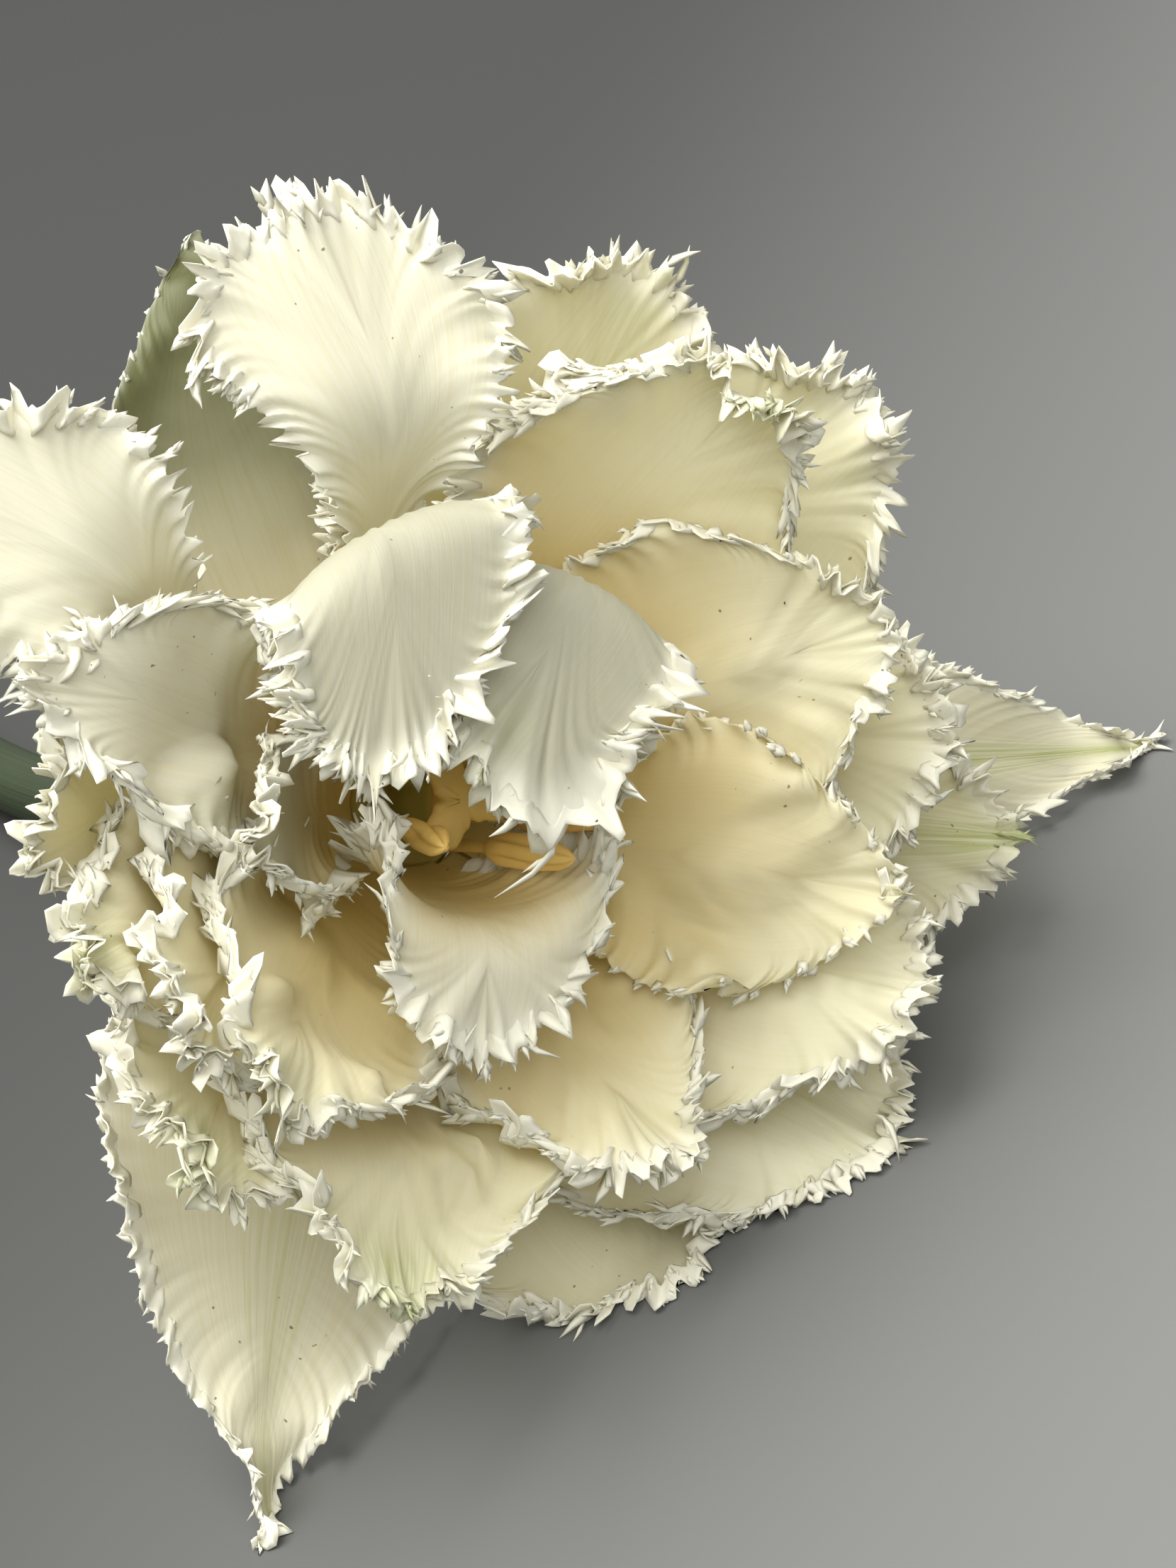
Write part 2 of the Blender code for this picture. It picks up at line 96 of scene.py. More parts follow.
@dataclass
class Surface:
    """Points and quads of a mesh in the making, with a flat place and three measures for each point."""
    points: Array  # (n, 3), mm
    quads: Array  # (m, 4)
    flat: Array  # (n, 2), across and along the piece, 0 to 1
    reach: Array  # (n,), mm from the piece's foot
    rim: Array  # (n,), 0 in the blade, 1 on the fringe
    green: Array  # (n,), strength of the green of midribs and tips
    smooth: Array  # (m,), whether each quad is shaded smooth

    @staticmethod
    def joined(parts: list["Surface"]) -> "Surface":
        """Several surfaces as one, whose quads count on through all the points.

        Args:
            parts: the surfaces.

        Returns:
            The one surface.
        """
        names = [item.name for item in fields(Surface)]
        whole = Surface(*[np.concatenate([getattr(part, name) for part in parts]) for name in names])
        starts = np.cumsum([0] + [len(part.points) for part in parts[:-1]])
        whole.quads += np.repeat(starts, [len(part.quads) for part in parts])[:, None]
        return whole

    def piece(self, name: str, material: bpy.types.Material, nodes: list[str], slot: str) -> None:
        """Make the object at the origin, let it ride on the root and stand for its CAD nodes.

        Args:
            name: the piece's name.
            material: its finish.
            nodes: the CAD nodes that it replaces.
            slot: not used.
        """
        mesh = bpy.data.meshes.new(name)
        mesh.vertices.add(len(self.points))
        mesh.vertices.foreach_set("co", (self.points * MM).astype(np.float32).ravel())
        mesh.loops.add(self.quads.size)
        mesh.loops.foreach_set("vertex_index", self.quads.astype(np.int32).ravel())
        mesh.polygons.add(len(self.quads))
        mesh.polygons.foreach_set("loop_start", np.arange(len(self.quads), dtype=np.int32) * 4)
        mesh.update(calc_edges=True)
        mesh.uv_layers.new(name="flat").data.foreach_set("uv", self.flat[self.quads.ravel()].ravel())
        for label in ("reach", "rim", "green"):
            values = getattr(self, label).astype(np.float32)
            mesh.attributes.new(label, "FLOAT", "POINT").data.foreach_set("value", values)
        mesh.polygons.foreach_set("use_smooth", self.smooth)
        mesh.materials.append(material)
        made = bpy.data.objects.new(name, mesh)
        bpy.context.scene.collection.objects.link(made)
        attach(made, ROOT)
        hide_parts(*nodes)
        LOG.info("%s: %d points, %d quads", name, len(self.points), len(self.quads))


def shell_quads(index: Array) -> Array:
    """Quads of two faces, each with one between four neighbours of a grid, and of the strip round them.

    The strip runs up the first column, over the last row, down the last column and back along the first
    row. It leaves the last row out where that is folded on itself, so that its two ends are one point.

    Args:
        index: the front face's points by number, as a grid; the back face's follow in the same order.

    Returns:
        The quads, (m, 4).
    """
    count = index.max() + 1
    face = np.stack([index[:-1, :-1], index[1:, :-1], index[1:, 1:], index[:-1, 1:]], axis=-1).reshape(-1, 4)
    top = index[-1, :0] if index[-1, 0] == index[-1, -1] else index[-1, 1:]
    loop = np.concatenate([index[:, 0], top, index[-2::-1, -1], index[0, -2:0:-1]])
    after = np.roll(loop, -1)
    strip = np.stack([loop, loop + count, after + count, after], axis=1)
    return np.concatenate([face, face[:, ::-1] + count, strip])


def tube_quads(index: Array) -> Array:
    """Quads between rings of points, whose numbers run down the tube by the last way but one."""
    after = np.roll(index, -1, axis=-1)
    return np.stack([index[..., :-1, :], after[..., :-1, :], after[..., 1:, :], index[..., 1:, :]],
                    axis=-1).reshape(-1, 4)


def swept(rings: Array, reach: Array) -> Surface:
    """A closed tube: rings of points, joined by quads and closed by a flat strip of quads on each end.

    Args:
        rings: points of each ring, (n, sides, 3), with an even number of sides.
        reach: distance of each ring along the tube.

    Returns:
        The closed surface; across runs round the tube and along down it.
    """
    count, sides = rings.shape[:2]
    index = np.arange(count * sides).reshape(count, sides)
    tube, half = tube_quads(index), np.arange(sides // 2 - 1)
    cap = np.stack([half, half + 1, sides - 2 - half, sides - 1 - half], axis=1)
    quads = np.concatenate([tube, cap[:, ::-1], cap + index[-1, 0]])
    across, along = np.meshgrid(np.arange(sides) / sides, np.linspace(0, 1, count))
    flat = np.stack([across.ravel(), along.ravel()], axis=1)
    return Surface(rings.reshape(-1, 3), quads, flat, np.repeat(reach, sides), np.zeros(len(flat)),
                   np.zeros(len(flat)), np.arange(len(quads)) < len(tube))


def rings_round(path: Array, wide: Array, thick: Array, aside: Array, sides: int,
                twist: Array | float = 0.0, groove: Array | float = 0.0) -> Array:
    """Oval rings square to a path: cosine and sine of the two sizes, less the grooves, then twisted.

    Args:
        path: centre line, (n, 3).
        wide, thick: half the oval's two sizes at each point.
        aside: a direction off the path, towards which the thick axis lies.
        sides: points to a ring.
        twist: turn of the ring at each point, in radians.
        groove: depth of the four grooves for the radius.

    Returns:
        Points of the rings, (n, sides, 3).
    """
    heading = unit(np.gradient(path, axis=0))
    side = unit(np.cross(heading, aside))
    other = np.cross(heading, side)
    turn = np.linspace(0, 2 * np.pi, sides, endpoint=False)
    bulge = 1 - groove * (0.5 - 0.5 * np.cos(4 * turn)) ** 3
    first, second = wide[:, None] * np.cos(turn) * bulge, thick[:, None] * np.sin(turn) * bulge
    twist = np.broadcast_to(twist, (len(path),))[:, None]
    a = first * np.cos(twist) - second * np.sin(twist)
    b = first * np.sin(twist) + second * np.cos(twist)
    return path[:, None, :] + side[:, None, :] * a[..., None] + other[:, None, :] * b[..., None]


# Where the cut flower lies


@dataclass(frozen=True)
class Lie:
    """How the bloom's own frame is carried to the floor."""
    pitch: float = 20.0
    up_azimuth: float = 128.0
    bloom_at: Triple = (2.0, 35.5, 39.0)

    def laid_down(self, points: Array) -> Array:
        """Points of the bloom's frame turned so that its axis lies forwards and slopes up by the pitch.

        Args:
            points: the points, (..., 3).

        Returns:
            The points in the floor's frame.
        """
        pitch, up = math.radians(self.pitch), math.radians(self.up_azimuth)
        upmost = points[..., 0] * math.cos(up) + points[..., 1] * math.sin(up)
        sideways = points[..., 0] * math.sin(up) - points[..., 1] * math.cos(up)
        along = points[..., 2]
        y = upmost * math.sin(pitch) - along * math.cos(pitch)
        z = upmost * math.cos(pitch) + along * math.sin(pitch)
        return np.stack([sideways, y, z], axis=-1) + np.array(self.bloom_at)

    def axes(self) -> Array:
        """The bloom's three axes as columns in the floor's frame."""
        return (self.laid_down(np.eye(3)) - self.laid_down(np.zeros((1, 3)))).T


LIE = Lie()


# Petals: the same forms as the solids they replace


@dataclass(frozen=True)
class Receptacle:
    """Feet of the petals, climbing the receptacle whorl by whorl."""
    foot_radius: float = 9.6
    radius_step: float = 0.45
    rise_step: float = 1.3
    neck_share: float = 0.45
    whorls: int = 9
    crown: float = 0.5  # height of the top over the last whorl's feet
    seat_gap: float = 0.3

    @property
    def top(self) -> float:
        """Height of the receptacle's top."""
        return self.rise_step * (self.whorls - 1) + self.crown

    def foot(self, whorl: int) -> tuple[float, float]:
        """Radius and height of a petal's foot in that whorl."""
        return self.foot_radius - self.radius_step * whorl, self.rise_step * whorl


RECEPTACLE = Receptacle()


class Tissue(Enum):
    """The kinds of petal, by where they stand and what colours they show."""
    TEPAL = "tepal"
    # dark olive tissue: partly the tepal's own green, partly painted shade where it lies in shade
    OLIVE = "olive"
    BACK = "back"
    FAN = "fan"
    CUP = "cup"
    # the inner petals' colour is a darker copy of the petal cream: painted shade on the hoods
    HEART = "heart"


@dataclass(frozen=True)
class Petal:
    """One petal: where it grows, how it leans along its length, how wide it is and what tissue it has."""
    name: str
    whorl: int
    azimuth: float
    length: float
    half_width: float
    lean: Triple
    point: float = 0.0  # 1 where the tip is pointed
    taper: float = 1.2
    flare: float = 1.3
    widest: float = 0.66
    edge: float = 0.0  # how far the margins stand in
    sweep: float = 0.0  # how far the tip turns aside
    wave: float = 1.6  # height of the large waves
    crease: float = 1.0  # share of the length past which the petal bends over
    turn: float = 0.0  # by how much, over what length and how far aside
    bend: float = 8.0
    swing: float = 0.0
    tissue: Tissue = Tissue.CUP
    midrib: float = 0.0
    green_tip: float = 0.0
    blunt: float = 0.55  # width left at the tip, for the widest
    cut: float = 0.3  # how far the tip's corners are rounded off
    apron: Triple = (0.0, 1.0, 0.0)  # where the rim is drawn out, how wide and by how much
    folds: float = 1.0  # long waves of the margin, for the tissue's usual ones
    fringe: float = 1.0  # how much of its tissue's fringe it has
    bare_to: tuple[float, float] = (0.15, 0.15)  # share of the length up to which each side has no fringe

    def spine(self) -> tuple[Array, Array, Array]:
        """The unbent spine, whose lean is a parabola through its values at foot, middle and tip.

        Returns:
            Share of the length, reach from the foot and angle from the axis along the spine.
        """
        steps = 120
        share = np.linspace(0, 1, steps + 1)
        start, middle, end = self.lean
        lean = (start + (4 * middle - 3 * start - end) * share
                + (2 * start + 2 * end - 4 * middle) * share ** 2)
        out, up = walked(np.radians(lean), self.length / steps)
        angle = np.arctan2(out, up)
        angle[0] = angle[1]
        return share, np.hypot(out, up), angle

    def share(self, along: Array, across: Array) -> Array:
        """Share of the length: along, less where the tip's corners are rounded off."""
        return along * (1 - self.cut * (1 - self.point) * np.abs(across) ** 2.4 * along ** 1.5)

    def drawn_out(self, place: Array) -> Array:
        """How far the rim is drawn out, a bell over the distance from the tip."""
        middle, wide, length = self.apron
        return length * np.exp(-((place - middle) / wide) ** 2)

    def bare(self, place: Array) -> Array:
        """Share of the length up to which the rim has no fringe, on the side of each place."""
        return np.where(place < 0, *self.bare_to)

    def green(self, across: Array, share: Array) -> Array:
        """Green of the midrib, a bell across the petal that grows along it, and of the tip's middle."""
        rib = self.midrib * np.exp(-(across / 0.2) ** 2) * softened(share, 0.1, 0.8)
        return rib + self.green_tip * np.exp(-(across / 0.4) ** 2) * softened(share, 0.8, 0.98)

    def width(self, share: Array) -> Array:
        """Half the width: a sine from the neck to the widest place, then a cosine to the tip.

        Args:
            share: shares of the length.

        Returns:
            Half the width at each.
        """
        widest = self.widest - 0.24 * self.point
        swell = np.sin(np.pi / 2 * np.clip(share / widest, 0, 1)) ** self.flare
        neck = RECEPTACLE.neck_share * RECEPTACLE.foot(self.whorl)[0]
        lower = neck + (self.half_width - neck) * swell
        past = np.clip((share - widest) / (1 - widest), 0, 1)
        blunt = self.blunt * (1 - self.point) + 0.03 * self.point
        upper = self.half_width * (blunt + (1 - blunt) * np.cos(np.pi / 2 * past) ** self.taper)
        return np.where(share < widest, lower, upper)

    def ruffle(self, share: Array, across: Array) -> Array:
        """Large waves: three down each side and one over the top, and how the margins stand in.

        Args:
            share: shares of the length.
            across: -1 to 1 from margin to margin.

        Returns:
            Height of the waves.
        """
        side = np.abs(across) ** 2.5 * np.clip((share - 0.2) / 0.5, 0, 1)
        side = side * np.sin(2 * np.pi * 3.0 * share + np.pi * (across > 0))
        top = np.sin(2 * np.pi * 1.1 * across) * np.clip((share - 0.5) / 0.55, 0, 1) ** 2
        return self.wave * (side + 0.8 * top) + self.edge * across ** 2 * share

    def covered(self, points: Array, quads: Array, across: Array, share: Array, rim: Array) -> Surface:
        """A smooth surface of this petal, whose other measures follow from each point's place on it."""
        flat = np.stack([across / 2 + 0.5, share], axis=-1)
        return Surface(points, quads, flat, share * self.length, rim, self.green(across, share),
                       np.ones(len(quads), dtype=bool))


P = Petal
PETALS = (
    P("tepal_right", 0, 5, 76, 15, (72, 84, 80), point=1, taper=1.5, tissue=Tissue.TEPAL,
      midrib=0.95, green_tip=0.2),
    P("tepal_lower", 0, 254, 62, 22, (72, 85, 77), point=1, sweep=5, taper=2.2, tissue=Tissue.TEPAL,
      midrib=0.35, green_tip=0.6),
    # its finish is partly the tepal's own green and partly painted shade, dark olive beyond the pale foot
    P("tepal_upper", 0, 122, 48, 23, (72, 86, 84), point=1, sweep=-12, taper=1.6, tissue=Tissue.OLIVE,
      fringe=0.2),
    P("petal_b_top", 1, 67, 49, 22, (72, 70, 62), tissue=Tissue.BACK, midrib=0.25),
    P("petal_b_left", 1, 184, 40, 17, (60, 52, 42), tissue=Tissue.BACK),
    P("petal_b_low", 1, 302, 51, 23, (72, 70, 64), wave=2.2, tissue=Tissue.BACK),
    P("petal_c_right", 2, -3, 54, 16, (70, 70, 66), tissue=Tissue.BACK, midrib=0.55, green_tip=0.3),
    P("petal_c_fan", 2, 151, 57, 12.5, (56, 48, 42), crease=0.64, turn=58, flare=8, widest=0.92,
      blunt=0.8, cut=0.16, bare_to=(0.76, 0.76), tissue=Tissue.FAN),
    P("petal_c_low", 2, 230, 42, 21, (62, 52, 46), green_tip=0.5),
    P("petal_d_top", 3, 44, 53, 22, (66, 64, 50)),
    P("petal_d_left", 3, 201.5, 42, 10.5, (60, 50, 44), green_tip=0.5),
    P("petal_d_low", 3, 322, 51, 22, (66, 64, 56), midrib=0.15),
    P("petal_e_fan", 4, 108, 59, 14.5, (48, 40, 36), crease=0.6, turn=65, flare=8, widest=0.92,
      blunt=0.8, cut=0.16, bare_to=(0.74, 0.74), tissue=Tissue.FAN),
    P("petal_e_low", 4, 259, 45, 18, (60, 56, 50), green_tip=0.75),
    P("petal_e_right", 4, 10, 47, 21, (62, 60, 46)),
    P("petal_f_left", 5, 213, 40, 14.5, (52, 46, 40)),
    P("petal_f_right", 5, 336, 47, 20, (58, 58, 46), fringe=0.75),
    P("petal_f_top", 5, 57, 50, 16, (58, 54, 44), crease=0.84, turn=-75, green_tip=0.55),
    P("petal_g_low", 6, 298, 38, 13, (61, 54, 46), bare_to=(0.45, 0.45)),
    P("petal_g_side", 6, 166, 43, 11, (54, 51, 47), crease=0.72, turn=42, folds=0.1, tissue=Tissue.FAN),
    P("petal_g_right", 6, 24, 44, 17, (54, 54, 42), fringe=0.4, bare_to=(0.5, 0.5)),
    P("petal_h_low", 7, 229, 38, 14, (54, 46, 42), green_tip=0.3),
    P("petal_h_hood", 7, 120, 55.5, 12, (46, 36, 26), crease=0.53, turn=-125, bend=10, swing=-28,
      blunt=0.75, cut=0.2, folds=0.6, tissue=Tissue.HEART),
    P("petal_h_right", 7, 348, 42, 13, (60, 60, 50), wave=1, fringe=0.2),
    P("petal_i_left", 8, 188, 30, 8.5, (44, 38, 28), edge=-2, tissue=Tissue.HEART, fringe=0.4),
    P("petal_i_hood", 8, 70, 49, 11.4, (42, 32, 24), crease=0.49, turn=-122, bend=10, swing=-15,
      blunt=0.75, cut=0.2, apron=(-6.5, 4.5, 6.0), tissue=Tissue.HEART, green_tip=0.3, bare_to=(0.5, 0.8),
      folds=0.4),
    P("petal_i_low", 8, 268, 30, 15.5, (20, 14, 8), crease=0.575, turn=88, bend=7, widest=0.85, blunt=0.8,
      cut=0.2, tissue=Tissue.FAN),
    P("petal_i_small", 8, 10, 19, 4, (44, 38, 28), wave=0.6, tissue=Tissue.HEART),
)


@dataclass
class Layout:
    """Angle of every petal from the axis, over azimuth and reach, each laid inside those before it."""
    petals: tuple[Petal, ...]
    azimuth_step: float = 3.0
    reach_step: float = 2.5
    reach_max: float = 95.0
    gap: float = 2.4
    room_from: float = 6.0
    room_ramp: float = 20.0
    soft_angle: float = 1.5
    edge_margin: float = 1.25  # half widths up to which a petal holds others back
    edge_release: float = 90.0
    end_margin: float = 4.0
    end_release: float = 6.0
    ruffle_span: float = 1.4  # half widths up to which large waves go on
    ruffle_from: float = 10.0  # reach below which they turn the petal no further
    least_out: float = 6.0  # distance from the axis at which a width is still laid off in full
    slope_over: float = 4.0  # stretch before the crease that gives the slope there
    angle: dict[str, Array] = field(default_factory=dict)
    hold: dict[str, Array] = field(default_factory=dict)

    def __post_init__(self) -> None:
        """Lay the petals from the outermost in."""
        self.azimuth = np.arange(0, 360, self.azimuth_step)
        self.reach = np.arange(0, self.reach_max, self.reach_step)
        for number, petal in enumerate(self.petals):
            wanted, self.hold[petal.name] = self.wanted(petal)
            for other in self.petals[:number]:
                wanted = self.kept_inside(wanted, petal, other)
            self.angle[petal.name] = wanted

    def wanted(self, petal: Petal) -> tuple[Array, Array]:
        """The angles that a petal would have alone: its spine's, and its large waves for the reach.

        Args:
            petal: the petal.

        Returns:
            Angle over azimuth and reach, and how little the petal holds others back beyond its margins.
        """
        share_line, reach_line, angle_line = petal.spine()
        share = np.interp(self.reach, reach_line, share_line)
        plain = np.interp(self.reach, reach_line, angle_line)
        out = RECEPTACLE.foot(petal.whorl)[0] + self.reach * np.sin(plain)
        turn = (self.azimuth[:, None] - (petal.azimuth + petal.sweep * share ** 2) + 180) % 360 - 180
        across = np.radians(turn) * out / petal.width(share)
        lift = petal.ruffle(share, np.clip(across, -self.ruffle_span, self.ruffle_span))
        end = np.interp(min(1.0, petal.crease), share_line, reach_line) + self.end_margin
        hold = np.radians(self.edge_release) * np.clip(np.abs(across) - self.edge_margin, 0, None)
        return (plain + lift / np.maximum(self.reach, self.ruffle_from),
                hold + np.clip(self.reach - end, 0, None) / self.end_release)

    def kept_inside(self, wanted: Array, petal: Petal, other: Petal) -> Array:
        """The wanted angles, eased down by a soft minimum where they would come too near an outer petal.

        Args:
            wanted: angle over azimuth and reach.
            petal: the petal that wants them.
            other: the outer petal.

        Returns:
            The eased angles.
        """
        room = max(0.0, self.gap - RECEPTACLE.rise_step * (petal.whorl - other.whorl))
        ramp = np.clip((self.reach - self.room_from) / self.room_ramp, 0, 1)
        ceiling = self.angle[other.name] + self.hold[other.name] - room * ramp / np.maximum(self.reach, 1.0)
        soft = math.radians(self.soft_angle)
        return ceiling - soft * np.logaddexp(0.0, (ceiling - wanted) / soft)

    def point(self, petal: Petal, azimuth: Array, reach: Array) -> tuple[Array, Array]:
        """Points of a laid petal: its angle read between the table's points, turned about the axis.

        Args:
            petal: the petal.
            azimuth: azimuths in degrees.
            reach: distances from the foot.

        Returns:
            Points in the bloom's frame, and their distance from its axis.
        """
        step = np.clip(reach / self.reach_step, 0, len(self.reach) - 1.001)
        angle = smooth_read(self.angle[petal.name], azimuth / self.azimuth_step, step)
        foot_radius, foot_height = RECEPTACLE.foot(petal.whorl)
        out = foot_radius + reach * np.sin(angle)
        up = foot_height + reach * np.cos(angle)
        turn = np.radians(azimuth)
        return np.stack([out * np.cos(turn), out * np.sin(turn), up], axis=-1), out

    def surface(self, petal: Petal, along: Array, across: Array) -> Array:
        """Middle surface of a petal: width laid off as azimuth, then the part past the crease bent over.

        Args:
            petal: the petal.
            along: 0 at the foot, 1 at the tip.
            across: -1 to 1 from margin to margin.

        Returns:
            Points in the bloom's frame.
        """
        share = petal.share(along, across)
        share_line, reach_line, _ = petal.spine()
        sheet = np.minimum(share, petal.crease)
        reach = np.interp(sheet, share_line, reach_line)
        middle = petal.azimuth + petal.sweep * sheet ** 2
        out = self.point(petal, middle, reach)[1]
        azimuth = middle + np.degrees(across * petal.width(share) / np.maximum(out, self.least_out))
        point = self.point(petal, azimuth, reach)[0]
        if petal.turn:
            crease_reach = float(np.interp(petal.crease, share_line, reach_line))
            past = np.clip(share - petal.crease, 0, 1) * petal.length
            point = point + self.bent_over(petal, crease_reach, past)
        return point

    def bent_over(self, petal: Petal, crease_reach: float, past: Array) -> Array:
        """Offset of points that lie past the crease: an arc, then a straight run, in one upright plane.

        Args:
            petal: the petal.
            crease_reach: reach of its crease.
            past: how far past the crease each point lies.

        Returns:
            The offsets in the bloom's frame.
        """
        spots = np.full(2, float(petal.azimuth))
        inner, outer = self.point(petal, spots, np.array([crease_reach - self.slope_over, crease_reach]))[0]
        start = math.atan2((outer - inner) @ compass(petal.azimuth), (outer - inner)[2])
        run = np.linspace(0, petal.length, 200)
        out, up = walked(start + math.radians(petal.turn) * np.clip(run / petal.bend, 0, 1), run[1])
        over = compass(petal.azimuth + petal.swing)
        return np.interp(past, run, out)[..., None] * over + np.interp(past, run, up)[..., None] * UPRIGHT


def smooth_read(table: Array, a: Array, b: Array) -> Array:
    """Value of a table between its points, by cubic curves both ways; the first way runs round a circle.

    Args:
        table: values, (n, m).
        a: place along the first way, in steps.
        b: place along the second way, in steps.

    Returns:
        The value at each place.
    """
    def weights(part: Array) -> list[Array]:
        """Weights of the four nearest points of a Catmull-Rom curve."""
        return [
            ((2 - part) * part - 1) * part / 2,
            ((3 * part - 5) * part * part + 2) / 2,
            ((4 - 3 * part) * part + 1) * part / 2,
            (part - 1) * part * part / 2,
        ]

    a_low, b_low = np.floor(a).astype(int), np.floor(b).astype(int)
    total = 0.0
    for i, first in zip(range(-1, 3), weights(a - a_low)):
        row = (a_low + i) % table.shape[0]
        for j, second in zip(range(-1, 3), weights(b - b_low)):
            total = total + first * second * table[row, np.clip(b_low + j, 0, table.shape[1] - 1)]
    return total


@dataclass(frozen=True)
class Fray:
    """How strongly the rim of a kind of petal is crimped, pleated and fringed."""
    crimp: float = 1.0  # height of the short waves at the rim
    pleat: float = 0.13  # height of the folds that run in from it
    frill: float = 0.85  # height of the long waves
    depth: float = 4.0  # how far in the long waves reach
    tooth: float = 0.88  # teeth, for the usual length
    wide: float = 1.0  # teeth, for the usual width
    second: float = 2.2  # smaller teeth beside the main ones, for each of those
    toss: float = 1.0  # how far they stand off the sheet
    layers: int = 2  # ruffles that double the margin


FRAYS = {
    Tissue.TEPAL: Fray(crimp=0.18, pleat=0.12, frill=0.22, tooth=0.5, wide=0.8, second=0.5, toss=0.4,
                       layers=1),
    Tissue.OLIVE: Fray(crimp=0.18, pleat=0.1, frill=0.4, tooth=0.4, wide=0.8, second=0.3, toss=0.4, layers=0),
    Tissue.BACK: Fray(),
    Tissue.FAN: Fray(pleat=0.14, frill=0.45, depth=5.5, tooth=1.1, wide=1.1),
    Tissue.CUP: Fray(),
    Tissue.HEART: Fray(frill=0.4, tooth=1.05, wide=1.1),
}


class Ripple(Enum):
    """Sums of sines along a rim: height, wavelength, first phase, slip and the slip's own length of each."""
    CRIMP = ((1, 2.15, 0, 1.7, 8.7),)  # about as long as a tooth is wide
    SWELL = ((0.35, 6.1, 2, 0.5, 17),)  # of the crimps
    PLEAT = (1, 2.9, 4, 1.9, 11.3), (0.5, 1.7, 6, 1.2, 7.1)
    FRILL = (1, 11.5, 8, 0.9, 31), (0.55, 5.7, 10, 0.9, 19)  # long waves of the whole margin
    SAW = (1, 2.0, 1, 1.6, 9.7), (0.5, 1.1, 7, 1.1, 5.9)
    LOBE = (0.6, 7.3, 12, 1.0, 23), (0.4, 3.3, 14, 1.0, 13)  # slow change of the teeth's length
    FULL = (1, 27.0, 5, 0.8, 41), (0.6, 12.0, 9, 0.6, 29)  # where the fringe is full or sparse


@dataclass
class Waves:
    """One petal's own waves along its rim, by distance from the tip."""
    phase: Array

    @staticmethod
    def drawn(rng: Draws) -> "Waves":
        """Waves whose phases are drawn."""
        return Waves(rng.uniform(0, 2 * np.pi, 16))

    def of(self, ripple: Ripple, place: Array) -> Array:
        """Sum of a ripple's sines, each with a phase that slips to and fro over a longer length.

        Args:
            ripple: the sines.
            place: distances from the tip.

        Returns:
            Height of the wave at each.
        """
        turn = 2 * np.pi * place
        return sum(high * np.sin(turn / length + self.phase[first]
                                 + slip * np.sin(turn / slow + self.phase[first + 1]))
                   for high, length, first, slip, slow in ripple.value)

    def crimp(self, place: Array) -> Array:
        """Short waves that swell and fade."""
        return self.of(Ripple.CRIMP, place) * (0.75 + self.of(Ripple.SWELL, place))

    def full(self, place: Array) -> Array:
        """Between 0, where the fringe is sparse, and 1, where it is full."""
        return softened(self.of(Ripple.FULL, place), -1.1, 0.5)

    def teeth(self, place: Array, level: float) -> Array:
        """Teeth of a sheet's margin: the part of a saw above a level, sharpened, times the lobes."""
        saw = np.clip(level + 0.5 * self.of(Ripple.SAW, place), 0, 1.3) ** 1.6
        return saw * (1 + 0.4 * self.of(Ripple.LOBE, place))


@dataclass
class Rim:
    """The free rim of a petal, from foot over the tip to foot, with its directions."""
    points: Array
    outward: Array
    normal: Array
    share: Array
    across: Array
    place: Array  # distance from the tip, less than 0 on the left

    @staticmethod
    def of(*grids: Array) -> "Rim":
        """Walk up the left margin and down the right one of a sheet's grids."""
        return Rim(*[np.concatenate([grid[:, 0], grid[-2::-1, -1]]) for grid in grids])

    @property
    def tangent(self) -> Array:
        """Directions along the rim."""
        return np.cross(self.normal, self.outward)

    def at(self, place: Array) -> "Rim":
        """The rim at any distances from the tip, read between its points."""
        points, outward, normal = [np.stack([np.interp(place, self.place, part) for part in way.T], axis=1)
                                   for way in (self.points, self.outward, self.normal)]
        return Rim(points, unit(outward), unit(normal), np.interp(place, self.place, self.share),
                   np.interp(place, self.place, self.across), place)

    def fringed(self, petal: Petal) -> tuple[float, float]:
        """Ends of the stretch that has a fringe."""
        place = self.place[self.share > petal.bare(self.place)]
        return place.min(), place.max()

    def grown(self, petal: Petal) -> Array:
        """How far the fringe has come up, a smooth step from where it begins."""
        return softened(self.share - petal.bare(self.place), 0.0, 0.2)


